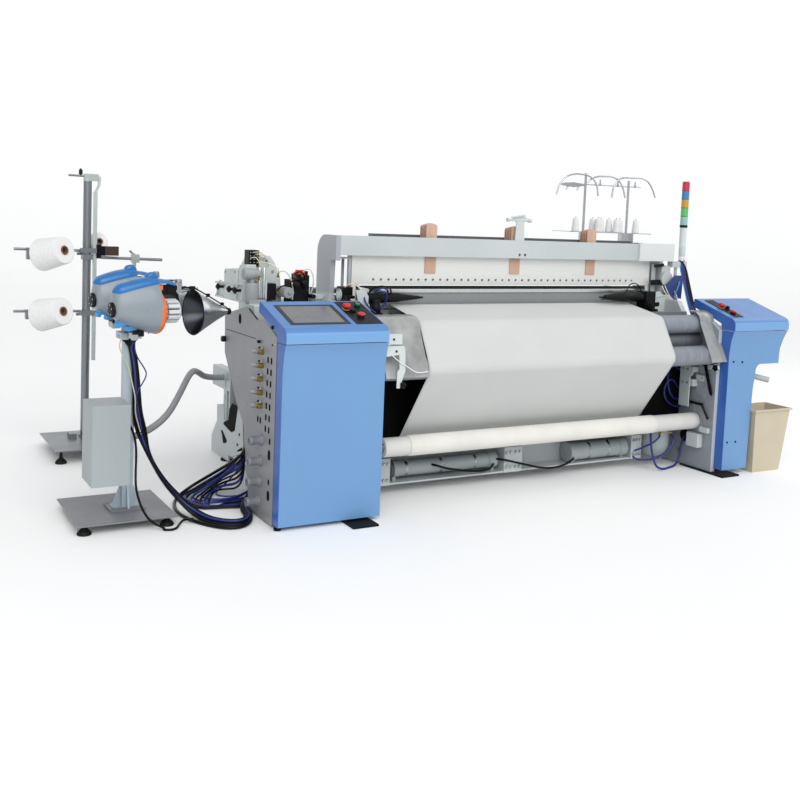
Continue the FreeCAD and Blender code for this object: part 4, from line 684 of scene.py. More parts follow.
# ------------------------------------------------------------------------------------------------ cloth and warp
def tangent(c1, r1, s1, c2, r2, s2):
    dx, dy = c2[0] - c1[0], c2[1] - c1[1]
    dist = math.hypot(dx, dy)
    ux, uy = dx / dist, dy / dist
    k = (s2 * r2 - s1 * r1) / dist
    cosk = math.sqrt(max(0.0, 1 - k * k))
    tx, ty = ux * cosk + uy * k, uy * cosk - ux * k
    lx, ly = -ty, tx
    return (c1[0] - lx * s1 * r1, c1[1] - ly * s1 * r1), (c2[0] - lx * s2 * r2, c2[1] - ly * s2 * r2)


def led_path(stops, off, step=12.0):
    """Sampled line led over circles: (centre, radius, side); off is how far the line lies from each circle."""
    tans = []
    for (c1, r1, s1), (c2, r2, s2) in zip(stops, stops[1:]):
        tans.append(tangent(c1, (r1 or 0) + off, s1, c2, (r2 or 0) + off, s2))
    pts = []

    def line(a, b, n=None):
        n = n or max(2, int(math.dist(a, b) / step / 2))
        for i in range(n):
            t = i / n
            pts.append((a[0] + (b[0] - a[0]) * t, a[1] + (b[1] - a[1]) * t))
    for i, (a, b) in enumerate(tans):
        line(a, b)
        if i + 1 < len(tans):
            c, r, s = stops[i + 1]
            R2 = (r or 0) + off
            nx = tans[i + 1][0]
            a1 = math.atan2(b[1] - c[1], b[0] - c[0])
            b1 = math.atan2(nx[1] - c[1], nx[0] - c[0])
            if s > 0 and b1 < a1:
                b1 += 2 * math.pi
            if s < 0 and b1 > a1:
                b1 -= 2 * math.pi
            n = max(3, int(abs(b1 - a1) * R2 / 5))
            for k in range(n):
                t = a1 + (b1 - a1) * k / n
                pts.append((c[0] + R2 * math.cos(t), c[1] + R2 * math.sin(t)))
    pts.append(tans[-1][1])
    return pts


def strip(name, path, x0, x1, cols, mat, body, thick=0.8, wave=None):
    """A sheet that follows a (y, z) path across x0..x1, with UVs in metres. wave(x, s, total) lifts a point off the path."""
    dist = [0.0]
    for a, b in zip(path, path[1:]):
        dist.append(dist[-1] + math.dist(a, b))
    verts, uvs, faces = [], [], []
    for i, (y, z) in enumerate(path):
        a, b = path[max(0, i - 1)], path[min(len(path) - 1, i + 1)]
        L = math.dist(a, b)
        ny, nz = (b[1] - a[1]) / L, -(b[0] - a[0]) / L
        for j in range(cols + 1):
            x = x0 + (x1 - x0) * j / cols
            h = wave(x, dist[i], dist[-1]) if wave else 0.0
            verts.append(W(x, y + ny * h, z + nz * h))
            uvs.append((x / 1000.0, dist[i] / 1000.0))
    for i in range(len(path) - 1):
        for j in range(cols):
            k = i * (cols + 1) + j
            faces.append((k, k + 1, k + cols + 2, k + cols + 1))
    o = obj_from(name, verts, faces, mat, body, uvs=uvs, smooth=180)
    so = o.modifiers.new("thick", "SOLIDIFY")
    so.thickness = thick / 1000.0
    so.offset = 0.0
    return o, dist[-1]


CLOTH = [((493.0, 1096.0), None, 1), ((187.0, 981.0), 60.0, 1), ((80.0, 787.0), 63.0, 1), ((306.0, 324.0), 24.0, -1), ((200.0, 327.0), 58.0, -1)]
path = led_path(CLOTH, 1.15)


def cloth_wave(x, s, total):
    """The faint pull lines of a taut cloth on its free span, nothing where it lies on a roller."""
    free = max(0.0, math.sin(math.pi * min(1.0, max(0.0, (s - 640) / 420.0))))
    edge = min(1.0, (x + 962) / 120.0, (852 - x) / 120.0)
    return free * 0.55 * math.sin(x / 61.0 + s / 260.0) * (0.5 + 0.5 * edge)


cloth, cloth_len = strip("cloth_sheet", path, -962, 852, 90, "cloth", "frame", 0.7, cloth_wave)
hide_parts("woven_cloth")

WARP = [((1330.0, 500.0), 300.0, 1), ((1545.0, 1005.0), 70.0, 1), ((733.0, 1102.0), None, 1)]
wpath = led_path(WARP, 1.15)
warp, warp_len = strip("warp_threads_sheet", wpath, -962, 852, 60, "warp", "frame", 0.7)
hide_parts("warp_sheet")


# ------------------------------------------------------------------------------------------------ helpers for lofted and wound pieces
def curve_value(x, table):
    """Smooth value through (x, v) stations."""
    n = len(table)
    if x <= table[0][0]:
        return table[0][1]
    for i in range(n - 1):
        (x0, v0), (x1, v1) = table[i], table[i + 1]
        if x <= x1:
            t = (x - x0) / (x1 - x0)
            m0 = (v1 - table[i - 1][1]) / (x1 - table[i - 1][0]) if i else (v1 - v0) / (x1 - x0)
            m1 = (table[i + 2][1] - v0) / (table[i + 2][0] - x0) if i + 2 < n else (v1 - v0) / (x1 - x0)
            d = x1 - x0
            return (2 * t ** 3 - 3 * t ** 2 + 1) * v0 + (t ** 3 - 2 * t ** 2 + t) * m0 * d + (-2 * t ** 3 + 3 * t ** 2) * v1 + (t ** 3 - t ** 2) * m1 * d
    return table[-1][1]


def loft(batch, rings, mtx):
    """Closed rings of equal length joined in order, with both ends capped."""
    n = len(rings[0])
    v = [p for r in rings for p in r]
    f = []
    for i in range(len(rings) - 1):
        for k in range(n):
            a, b = i * n + k, i * n + (k + 1) % n
            f.append((a, b, b + n, a + n))
    f.append(tuple(range(n - 1, -1, -1)))
    f.append(tuple(range((len(rings) - 1) * n, len(rings) * n)))
    return batch.add(v, f, mtx)


def wound(name, prof, mtx, mat, body, node=None, seg=72, smooth=40.0):
    """A turned piece with UVs in metres: u round the axis, v along the outline."""
    verts, uvs, faces = [], [], []
    run = [0.0]
    for a, b in zip(prof, prof[1:]):
        run.append(run[-1] + math.dist(a, b))
    for (r, z), l in zip(prof, run):
        for k in range(seg + 1):
            a = 2 * math.pi * k / seg
            verts.append(mtx @ Vector((r * math.cos(a), r * math.sin(a), z)))
            uvs.append((max(r, 5.0) * a / 1000.0, l / 1000.0))
    for i in range(len(prof) - 1):
        for k in range(seg):
            a = i * (seg + 1) + k
            faces.append((a, a + 1, a + seg + 2, a + seg + 1))
    o = obj_from(name, verts, faces, mat, body, uvs=uvs, smooth=smooth, ride=False)
    bm = bmesh.new()
    bm.from_mesh(o.data)
    bmesh.ops.remove_doubles(bm, verts=bm.verts, dist=1e-6)
    bmesh.ops.recalc_face_normals(bm, faces=bm.faces)
    bm.to_mesh(o.data)
    bm.free()
    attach(o, body)
    if node:
        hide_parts(node)
    return o


# ------------------------------------------------------------------------------------------------ weft feeders
def local(o):
    return Matrix.Translation(W(*o)) @ Matrix.Rotation(math.radians(10.0), 4, "Z") @ Matrix.Scale(0.001, 4)


ZB = [(-218, 8), (-213, -16), (-200, -32), (-175, -47), (-140, -63), (-105, -77), (-70, -90), (-40, -99), (-15, -105), (4, -107)]
ZT = [(-218, 84), (-213, 104), (-200, 122), (-175, 138), (-140, 154), (-105, 165), (-70, 171), (-40, 175), (-15, 172), (4, 168)]
HW = [(-218, 24), (-213, 46), (-200, 60), (-175, 71), (-140, 82), (-105, 91), (-70, 99), (-40, 105), (-15, 109), (4, 110)]
SL = [(-218, 104), (-205, 101), (-195, 102), (-165, 111), (-136, 120), (-105, 128), (-76, 135), (-46, 141), (-14, 147), (16, 156), (40, 151), (66, 145), (90, 140), (106, 136), (112, 139)]
ST = [(-218, 116), (-205, 132), (-195, 142), (-165, 153), (-136, 162), (-105, 171), (-76, 177), (-46, 182), (-14, 182), (16, 175), (40, 171), (66, 166), (90, 160), (106, 153), (112, 146)]


def body_half(x, z):
    zc, zt, hw = 4.0 + min(0.0, (x + 120) * 0.0), curve_value(x, ZT), curve_value(x, HW)
    s = max(0.0, min(1.0, (z - zc) / max(1.0, zt - zc)))
    return hw * math.sqrt(max(0.0, 1 - s * s))


def egg(x, n=40):
    zb, zt, hw = curve_value(x, ZB), curve_value(x, ZT), curve_value(x, HW)
    zc = 4.0 if zb < -20 else (zb + zt) / 2 * 0.6
    ring = []
    for k in range(n):
        a = 2 * math.pi * k / n
        c, s = math.cos(a), math.sin(a)
        ring.append((x, hw * math.copysign(abs(c) ** 0.94, c), zc + (zt - zc if s > 0 else zc - zb) * s))
    return ring


def strip_ring(x, n=20):
    zl, zt = curve_value(x, SL), curve_value(x, ST)
    if x <= 0:
        hw = body_half(x, zl) + 3.5
    else:
        hw = curve_value(x, [(0, body_half(0, 147) + 3.5), (16, 50), (40, 38), (66, 32), (90, 28), (112, 22)])
    ring = []
    for k in range(n):
        a = math.pi * k / (n - 1)
        c, s = math.cos(a), math.sin(a)
        ring.append((x, hw * math.copysign(abs(c) ** 0.8, c), zl + (zt - zl) * abs(s) ** 0.85))
    return ring


def feeder_model(tag, org):
    node = "weft_feeder_" + tag
    mx = local(org)
    b = Batch("feeder_shell_" + tag, "fgrey", slot="weft_feeder", smooth=60)
    xs = [-218, -217, -215, -212, -208, -203, -196, -188, -178, -165, -150, -135, -118, -100, -82, -64, -46, -30, -15, -4, 2]
    loft(b, [egg(x) for x in xs], mx)
    shell = b.build()
    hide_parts(node)
    b = Batch("feeder_cover_" + tag, "fblue", slot="weft_feeder", bevel=1.2, smooth=50)
    xs = [-219, -216, -211, -204, -195, -183, -170, -155, -136, -116, -96, -76, -60, -46, -30, -14, 2, 16, 28, 40, 54, 66, 80, 92, 102, 108, 112]
    loft(b, [strip_ring(x) for x in xs], mx)
    hump = []
    for x, zt, hw in ((-52, 176, 8), (-48, 184, 14), (-42, 194, 19), (-34, 201, 22), (-20, 205, 24), (-6, 205, 24), (4, 202, 23), (10, 196, 21), (15, 186, 17), (19, 172, 10)):
        hump.append([(x, hw * math.copysign(abs(math.cos(math.pi * k / 15)) ** 0.6, math.cos(math.pi * k / 15)), 160 + (zt - 160) * math.sin(math.pi * k / 15) ** 0.5) for k in range(16)])
    loft(b, hump, mx)
    b.build()
    b = Batch("feeder_ring_" + tag, "orange", slot="weft_feeder", smooth=40)
    rx = mx @ Matrix.Translation((0, 0, 4)) @ Matrix.Rotation(math.pi / 2, 4, "Y")
    b.lathe([(103, -1), (109, -2), (112.5, 1), (113.5, 8), (112, 16), (107, 22), (100, 25), (95, 24), (94, 12), (96, 2)], rx, 72, closed=True)
    for sy in (-1, 1):
        y0 = sy * 61
        b.box(-10, 21, min(y0, y0 - sy * 14), max(y0, y0 - sy * 14), 117, 142, mx)
    b.bevel = 2.0
    b.build()
    b = Batch("feeder_dark_" + tag, "black", slot="weft_feeder", bevel=1.0, smooth=40)
    b.lathe([(0, 4), (95, 4), (95, 14), (88, 18), (44, 18), (42, 24), (40, 60), (0, 60)], rx, 56)
    for sy in (-1, 1):
        y0 = sy * 59.5
        b.box(-13, 24, min(y0, y0 - sy * 18), max(y0, y0 - sy * 18), 113, 146, mx)
    b.box(24, 58, -27, 27, 90, 128, mx).box(62, 112, -26, 26, 92, 127, mx).box(20, 112, -22, 22, 120, 140, mx)
    b.box(58, 62, -24, 24, 94, 124, mx)
    # rear plug disc
    dx = mx @ Matrix.Translation((-214, 0, 18)) @ Matrix.Rotation(-math.pi / 2, 4, "Y")
    b.lathe([(0, 17), (30, 17), (36, 15), (39, 11), (39, 3), (36, 0), (0, 0)], dx, 40)
    b.box(-120, -62, -30, 30, -116, -84, mx).box(-118, -70, -38, -30, -112, -92, mx)
    b.cyl(tuple(Vector(org) + Vector((-52, -104, -92))), (0.17, -1, 0), 3, 4)
    b.build()
    b = Batch("feeder_drum_" + tag, "drum", slot="weft_feeder", bevel=1.2, smooth=30)
    for k in range(12):
        a = math.radians(30 * k)
        rm = mx @ Matrix.Translation((0, 0, 6)) @ Matrix.Rotation(a, 4, "X")
        b.prism([(-8.5, 42), (8.5, 42), (10.5, 58), (8, 62), (-8, 62), (-10.5, 58)], 58, 120, "YZ", rm)
    d6 = mx @ Matrix.Translation((0, 0, 6)) @ Matrix.Rotation(math.pi / 2, 4, "Y")
    b.lathe([(0, 118), (54, 118), (57, 121), (54, 127), (46, 131), (34, 134), (12, 135), (0, 135)], d6, 48)
    b.build()
    b = Batch("feeder_bright_" + tag, "steel", slot="weft_feeder", bevel=0.8)
    for y, z, x1 in ((10, 117, 250), (-14, 108, 176), (22, 104, 210)):
        b.lathe([(0, 0), (5.6, 0), (6, 1), (6, x1 - 113), (5, x1 - 112), (0, x1 - 112)], mx @ Matrix.Translation((112, y, z)) @ Matrix.Rotation(math.pi / 2, 4, "Y"), 16)
    b.lathe([(0, -2), (15, -2), (18, 1), (18, 15), (15, 18), (0, 18)], mx @ Matrix.Translation((134, 0, 150)), 24)
    b.box(112, 150, -13, 13, 134, 150, mx).box(118, 142, -20, 24, 96, 136, mx)
    for k in range(5):
        a = math.radians(72 * k + 20)
        b.lathe([(0, 0), (4, 0), (4, 2), (3, 3), (0, 3)], mx @ Matrix.Translation((-231, 25 * math.cos(a), 18 + 25 * math.sin(a))) @ Matrix.Rotation(-math.pi / 2, 4, "Y"), 10)
    # bracket under the shell that grips the cross rod
    b.box(-122, -70, -20, 20, -128, -98, mx).box(-126, -98, -40, -20, -132, -104, mx)
    b.build()
    b = Batch("feeder_connector_" + tag, "cablelight", slot="weft_feeder", bevel=2.0)
    b.box(-196, -150, -34, 20, -58, -34, mx).box(-204, -186, -30, 10, -70, -46, mx).box(-150, -98, -24, 24, -88, -62, mx)
    b.build()


F1 = (-2372.0, 400.0, 1076.0)
F2 = (-2379.0, 790.0, 1090.0)
feeder_model("front", F1)
feeder_model("rear", F2)

# balloon cones: a bright spun outside, a dark inner face that is painted shade, a black rim, tip and arm
for tag, org, size in (("front", (-2156.0, 438.0, 1070.0), 1.0), ("rear", (-2163.0, 828.0, 1086.0), 0.9)):
    mx = local(org)
    rx = mx @ Matrix.Rotation(math.pi / 2, 4, "Y")
    r, L = 117 * size, 204
    b = Batch("cone_outside_" + tag, "coneouter", slot="balloon_cones", smooth=60)
    b.lathe([(r + 1.4, 1), (r + 1.2, 3), (r * 0.74, 61), (r * 0.42, 128), (13, L - 2), (12, L + 12), (9.6, L + 12), (9.6, L - 2), (r * 0.42 - 2, 127), (r * 0.74 - 2, 60.5), (r - 0.8, 3)], rx, 72, closed=True)
    o = b.build()
    if tag == "front":
        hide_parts("balloon_cones")
    b = Batch("cone_inside_" + tag, "coneinner", slot="balloon_cones", smooth=60)
    b.lathe([(r - 0.9, 2.4), (r * 0.74 - 2.2, 60.5), (r * 0.42 - 2.2, 127), (9.4, L - 3), (8.6, L - 3), (r * 0.42 - 3.2, 127), (r * 0.74 - 3.2, 60.5), (r - 2, 2.4)], rx, 72, closed=True)
    b.build()
    b = Batch("cone_rim_" + tag, "black", slot="balloon_cones", smooth=50)
    b.lathe([(r - 2.6, 0), (r - 1, -1.5), (r + 1.6, -1), (r + 2.4, 1.6), (r + 1.6, 4), (r - 1, 3.6)], rx, 72, closed=True)
    b.lathe([(12, L - 6), (16, L - 6), (18, L - 2), (18, L + 12), (16, L + 15), (9, L + 15), (9, L + 12), (12, L + 10)], rx, 28, closed=True)
    top = r + 2
    b.box(-18, 8, -8, 8, top + 2, top + 18, mx).box(L * 0.42 - 8, L * 0.42 + 10, -6, 6, r * 0.62 + 6, r * 0.62 + 24, mx).box(L * 0.84 - 8, L * 0.84 + 8, -5, 5, r * 0.24 + 4, r * 0.24 + 20, mx)
    b.build()
    pts = [(-118, 4, 74 * 1.0 + (top - 74) * 0.55), (-70, 2, top + 8), (-20, 0, top + 14), (20, 0, top + 2), (L * 0.42, 0, r * 0.62 + 13), (L * 0.84, 0, r * 0.24 + 10), (L + 2, 0, 14)]
    rot = Matrix.Rotation(math.radians(10.0), 4, "Z")
    curve("cone_arm_" + tag, [tuple(Vector(org) + rot @ Vector(q)) for q in pts], 3.6, "black")

# ------------------------------------------------------------------------------------------------ yarn: packages, bobbins, beam and cloth roll
g = Mat("package_yarn", uv=True)
d1 = g.wave("DIAGONAL", 0.0021, 0.3)
d2 = g.node("ShaderNodeTexWave", wave_type="BANDS", bands_direction="DIAGONAL")
d2.inputs["Scale"].default_value = 0.31416 / 0.0023
g.link(g.scaled((-1, 1, 1)), d2.inputs["Vector"])
lay = g.math("MAXIMUM", d1, d2.outputs["Fac"])
soft = g.noise(60.0, 4.0)
g.color(g.mix(g.span(lay, 0.22, 0.0, 0.2, 0.9), g.mix(g.span(soft, 0, 1), rgb(222, 223, 223), rgb(236, 236, 235)), rgb(176, 177, 178)))
g.rough(g.span(soft, 0.8, 0.92))
g.normal(g.bump(lay, 0.45, 0.0006))
g.set("Sheen Weight", 0.25)
M["package"] = g
g = Mat("package_end", uv=True)
rings = g.wave("Y", 0.0016, 1.2)
g.color(g.mix(g.span(rings, 0.16, 0.0, 0.1, 0.8), rgb(243, 241, 240), rgb(196, 194, 193)))
g.rough(g.span(g.noise(80.0, 4.0), 0.82, 0.94))
g.normal(g.bump(rings, 0.4, 0.0005))
M["packend"] = g
g = Mat("beam_yarn", uv=True)
thr = g.wave("Y", 0.0019, 0.25)
lay = g.noise(9.0, 3.0, 0.5, (0.6, 26.0, 1))
g.color(g.mix(g.span(thr, 0.3, 0.0, 0.1, 0.8), g.mix(g.span(lay, 0, 1), rgb(222, 217, 202), rgb(236, 232, 220)), rgb(176, 168, 148)))
g.rough(g.span(lay, 0.8, 0.92))
g.normal(g.bump(thr, 0.5, 0.0006))
M["beamyarn"] = g
# The cloth on the roll is given a lighter tone than the cloth sheet: painted light that offsets the shade under the
# rollers.
g = Mat("roll_cloth", uv=True)
thr = g.math("MAXIMUM", g.wave("X", 0.0013), g.wave("Y", 0.0011))
g.color(g.mix(g.span(thr, 0.25, 0.0, 0.3, 0.9), g.mix(g.span(g.noise(4.0, 3.0), 0, 1), rgb(220, 218, 212), rgb(230, 228, 223)), rgb(186, 183, 174)))
g.rough(g.span(g.noise(50.0, 4.0), 0.82, 0.93))
g.normal(g.bump(thr, 0.4, 0.0006))
M["rollcloth"] = g

PD = Vector((-0.55, 0.81, -0.2)).normalized()
PE = Vector((-0.25, 0.93, -0.25)).normalized()
first = True
for i, (face, d, prof, core, length) in enumerate((
        (Vector((-2527, 1880, 1318)), PD, [(80, 0.8), (84, 2.4), (86, 6), (92, 60), (98, 120), (103, 178), (104.5, 188), (103, 195), (97, 199.4)], 29.5, 200),
        (Vector((-2530, 1880, 935)), PD, [(80, 0.8), (84, 2.4), (86, 6), (92, 60), (98, 120), (103, 178), (104.5, 188), (103, 195), (97, 199.4)], 29.5, 200),
        (Vector((-2252.5, 2150, 1368)), PE, [(55, 1.6), (60, 3), (63, 8), (67, 50), (71, 94), (72, 101), (70, 106), (66, 109)], 23.5, 110))):
    mt = T(tuple(face), tuple(d))
    side = wound("package_yarn_%d" % (i + 1), prof, mt, "package", "frame", "yarn_packages" if first else None)
    first = False
    r0, z0 = prof[0]
    end = wound("package_face_%d" % (i + 1), [(core, 1.2), (core + 6, 0.9), (core + 12, 1.4), ((core + r0) / 2, 0.5), (r0, z0)], mt, "packend", "frame")
    back = wound("package_back_%d" % (i + 1), [(prof[-1][0], prof[-1][1]), (core, length)], mt, "packend", "frame")
    b = Batch("package_core_%d" % (i + 1), "kraft", slot="yarn_packages", smooth=40)
    b.lathe([(core - 8.5, -4), (core - 7.5, -5), (core - 1, -5), (core, -3.5), (core, length), (core - 8.5, length)], mt, 48, closed=True)
    b.build()
PEGS = [(713, 900), (864, 900), (865, 840), (939, 900), (1014, 900), (1035, 845), (1115, 900), (1265, 900)]
for i, (x, y) in enumerate(PEGS):
    mt = T((x, y, 1558.2))
    o = wound("selvage_yarn_%d" % (i + 1), [(9, 1), (25, 0.6), (26.6, 3), (26.8, 6), (24.8, 26), (22.6, 52), (20.4, 78), (19.4, 86), (17.6, 90), (14, 91.5), (9, 91.5)], mt, "package", "frame", "selvage_bobbins" if i == 0 else None, seg=40)
b = Batch("selvage_tubes", "white", slot="selvage_bobbins", smooth=40)
for x, y in PEGS:
    b.lathe([(5.6, 0.2), (9, 0.2), (9, 93.6), (8, 95), (5.6, 95)], T((x, y, 1558.2)), 20, closed=True)
b.build()

# cloth roll: cloth on a pale sleeve, with its steel ends
MX = T((-977, 200, 327), (1, 0, 0))
o = wound("cloth_roll_cloth", [(54, 0), (57, 0.4), (58, 2), (58, 60)] + [(58 - 0.15 * (k % 2), 60 + 86 * k) for k in range(1, 21)] + [(58, 1836), (57, 1837.6), (54, 1838)], MX, "rollcloth", "roll", "cloth_roll", seg=96)
b = Batch("cloth_roll_sleeve", "coreleft", body="roll", slot="cloth_roll", smooth=40)
for x0, x1 in ((-1137, -976), (860, 1241)):
    b.lathe([(30, 0), (52, 0), (54, 1.5), (54, x1 - x0 - 1.5), (52, x1 - x0), (30, x1 - x0)], T((x0, 200, 327), (1, 0, 0)), 64, closed=True)
b.build()
b = Batch("cloth_roll_ends", "steel", body="roll", slot="cloth_roll", smooth=40)
b.lathe([(0, 0), (23.5, 0), (24.9, 1.5), (24.9, 150), (31, 151.5), (31, 158), (0, 158)], T((-1288, 200, 327), (1, 0, 0)), 40)
b.lathe([(0, 0), (31, 0), (31, 8), (24.9, 8.5), (24.9, 58), (23.5, 60), (0, 60)], T((1228, 200, 327), (1, 0, 0)), 40)
b.build()

# warp beam: wound yarn between ribbed painted flanges
MX = T((-970, 1330, 500), (1, 0, 0))
o = wound("warp_beam_yarn", [(120, 0.5), (300, 0.5)] + [(300 - 0.25 * (k % 2), 12 + 50 * k) for k in range(37)] + [(300, 1829.5), (120, 1829.5)], MX, "beamyarn", "beam", "warp_beam", seg=128)
b = Batch("warp_beam_flanges", "castlight", body="beam", slot="warp_beam", smooth=35)
for x, s in ((-970, -1), (860, 1)):
    mt = T((x, 1330, 500), (s, 0, 0))
    b.lathe([(76, 0.6), (396, 0.6), (400, 4), (400, 11), (396, 14), (380, 14), (376, 8), (150, 10), (120, 22), (110, 34), (76, 34)], mt, 96, closed=True)
    for k in range(12):
        a = 2 * math.pi * k / 12
        b.box(120, 380, -4, 4, 8, 16, mt @ Matrix.Rotation(a, 4, "Z"))
b.build()
b = Batch("warp_beam_shaft", "steel", body="beam", slot="warp_beam", smooth=35)
b.lathe([(0, 0), (38, 0), (39.9, 2), (39.9, 49), (75, 50), (75, 268), (0, 268)], T((-1289, 1330, 500), (1, 0, 0)), 48)
b.lathe([(0, 0), (75, 0), (75, 344), (39.9, 345), (39.9, 393), (38, 395), (0, 395)], T((894, 1330, 500), (1, 0, 0)), 48)
gm = T((1150, 1330, 500), (1, 0, 0))
prof = []
teeth = 60
gear_v, gear_f = [], []
for k in range(teeth * 4):
    a = 2 * math.pi * k / (teeth * 4)
    rr = 210 if k % 4 in (0, 1) else 199
    gear_v += [(rr * math.cos(a), rr * math.sin(a), 0), (rr * math.cos(a), rr * math.sin(a), 36)]
n = teeth * 4
for k in range(n):
    a, c = 2 * k, 2 * ((k + 1) % n)
    gear_f.append((a, c, c + 1, a + 1))
gear_v += [(0, 0, 0), (0, 0, 36)]
for k in range(n):
    a, c = 2 * k, 2 * ((k + 1) % n)
    gear_f += [(2 * n, c, a), (2 * n + 1, a + 1, c + 1)]
b.add(gear_v, gear_f, gm)
b.build()

# ------------------------------------------------------------------------------------------------ heald wires, drop wires, reed dents
for k in range(4):
    y = 650 + 18 * k
    b = Batch("heald_wires_%d" % (k + 1), "wire", body="healds_%d" % (k + 1), slot="heald_frame", smooth=20)
    x = -1100.0 + 2.5 * k
    while x < 1150:
        b.box(x - 0.5, x + 0.5, y + 2.4, y + 3.6, 906, 1189)
        x += 9.0
    b.build()
b = Batch("drop_wires", "steel", slot="warp_stop_motion", smooth=20)
for k in range(6):
    x = -955.0 + 1.7 * k
    while x < 846:
        b.box(x - 0.25, x + 0.25, 1007 + 25 * k, 1014 + 25 * k, 1036, 1150)
        x += 10.0
b.build()
b = Batch("reed_caps", "reedcap", body="sley_swing", slot="reed", bevel=1.0)
b.box(-1010, 935, 512, 538, 1164, 1184).box(-1010, 935, 516, 536, 1062, 1078).box(-1010, -1002, 516, 534, 1078, 1164).box(927, 935, 516, 534, 1078, 1164)
o = b.build()
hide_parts("reed")
b = Batch("reed_dent_row", "reed", body="sley_swing", slot="reed", smooth=20)
b.box(-1002, 927, 521.0, 528.8, 1077, 1165)
x = -1000.0
while x < 926:
    b.box(x - 0.45, x + 0.45, 520, 530, 1077, 1165)
    x += 2.6
b.build()

# ------------------------------------------------------------------------------------------------ placed by sight line
CAM = Vector((-3760, -4589, 1600))


def at(px, py, axis, val):
    """The point where the sight line through a picture position meets a plane of constant x, y or z (working frame)."""
    d = F + R * ((px - 400) / 1000.0) - U * ((py - 300) / 1000.0)
    return CAM + d * ((val - CAM[axis]) / d[axis])


def slab(b, pts, axis, val, depth):
    """A flat plate whose outline is given by picture positions on a plane, with a thickness along that axis."""
    low = [at(px, py, axis, val) for px, py in pts]
    off = Vector((0, 0, 0))
    off[axis] = depth
    n = len(low)
    v = [tuple(p) for p in low] + [tuple(p + off) for p in low]
    f = [tuple(range(n)), tuple(range(2 * n - 1, n - 1, -1))] + [(i, n + i, n + (i + 1) % n, (i + 1) % n) for i in range(n)]
    return b.add(v, f)


def knob(b, p, d, r=20.0, h=14.0, lobes=6):
    """A star grip: lobed disc on a short collar."""
    seg = lobes * 6
    v, f = [], []
    for z, k in ((0, 0.86), (h * 0.25, 1.0), (h * 0.75, 1.0), (h, 0.84)):
        for i in range(seg):
            a = 2 * math.pi * i / seg
            rr = r * k * (0.90 + 0.10 * math.cos(lobes * a))
            v.append((rr * math.cos(a), rr * math.sin(a), z))
    for j in range(3):
        for i in range(seg):
            n = (i + 1) % seg
            f.append((j * seg + i, j * seg + n, (j + 1) * seg + n, (j + 1) * seg + i))
    f.append(tuple(range(seg)))
    f.append(tuple(range(4 * seg - 1, 3 * seg - 1, -1)))
    b.add(v, f, T(p, d))
    return b.cyl(tuple(Vector(p) + Vector(d).normalized() * h), d, r * 0.42, h * 0.35)


SLOPE = math.atan2(95.0, 308.0)
NORM = Vector((0, -math.sin(SLOPE), math.cos(SLOPE)))


def on_slope(x, y, lift=0.0):
    return Vector((x, y, 1040 + (y + 20) * 95.0 / 308.0)) + NORM * lift


# signal tower: pale pole, black collar and five lamps with thin dark seams
b = Batch("tower_pole", "lightgrey", slot="signal_tower", smooth=50)
b.lathe([(0, 0), (22, 0), (24, 3), (24, 60), (24.4, 62), (24, 64), (24, 205), (0, 205)], T((1452, 615, 1416)), 40)
o = b.build()
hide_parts("signal_tower")
b = Batch("tower_black", "black", slot="signal_tower", smooth=50)
b.lathe([(0, 0), (26, 0), (27, 2), (27, 16), (25.6, 18), (0, 18)], T((1452, 615, 1612)), 40)
for k in range(1, 5):
    b.lathe([(0, -1.2), (26.4, -1.2), (26.4, 1.2), (0, 1.2)], T((1452, 615, 1630 + 60 * k)), 40)
b.lathe([(0, 0), (24, 0), (20, 5.6), (0, 6)], T((1452, 615, 1929)), 40)
b.build()
for k, (key, tone) in enumerate((("lclear", 0), ("lgreen", 0), ("lamber", 0), ("lblue", 0), ("lred", 0))):
    b = Batch("tower_lamp_%d" % (k + 1), key, slot="signal_tower", smooth=50)
    z0, top = 1630 + 60 * k + 0.6, 58.8
    prof = [(0, 0), (25, 0)] + [(26 - (0.7 if j % 2 else 0.0), 2 + (top - 4) * j / 16.0) for j in range(17)] + [(25, top), (0, top)]
    b.lathe(prof, T((1452, 615, z0)), 40)
    b.build()
b = Batch("tower_clamp", "white", smooth=40, bevel=1.5)
b.box(1424, 1480, 587, 612, 1376, 1408).box(1419, 1424.6, 592, 612, 1382, 1402).cyl((1452, 587, 1392), (0, -1, 0), 13, 8)
b.build()

# screen glass, button collars, console details
b = Batch("screen_glass", "screen", slot="touch_screen")
v = [tuple(on_slope(x, y, h)) for h in (0.8, 1.6) for x, y in ((-1763.6, 22.5), (-1476.4, 22.5), (-1476.4, 227.5), (-1763.6, 227.5))]
b.add(v, [(0, 1, 2, 3), (7, 6, 5, 4), (0, 4, 5, 1), (1, 5, 6, 2), (2, 6, 7, 3), (3, 7, 4, 0)])
b.build()
b = Batch("button_collars_yellow", "yellow", smooth=40)
b.lathe([(18, 3.4), (21.6, 3.4), (22.6, 4.4), (22.4, 6.4), (18, 6.4)], T(tuple(on_slope(-1398, 178, 1.5)), tuple(NORM)), 36, closed=True)
b.lathe([(18, 3.4), (21.6, 3.4), (22.6, 4.4), (22.4, 6.4), (18, 6.4)], T(tuple(on_slope(1352, 132, 2.8)), tuple(NORM)), 36, closed=True)
b.build()
b = Batch("button_collars_black", "black", smooth=40)
for x, y, r, lift in ((-1313, 218, 19, 1.6), (-1356, 84, 21, 1.6), (1388, 112, 17, 3.0), (1366, 40, 19, 3.0)):
    b.lathe([(12, 0), (r, 0), (r, 4.5), (r - 1.6, 6.6), (12, 6.6)], T(tuple(on_slope(x, y, lift)), tuple(NORM)), 36, closed=True)
b.lathe([(0, 0), (14, 0), (14, 14.6), (12.6, 16), (0, 16)], T(tuple(on_slope(-1374, 145, 1.0)), tuple(NORM)), 32)
p = at(272.9, 327.5, 0, -1842)
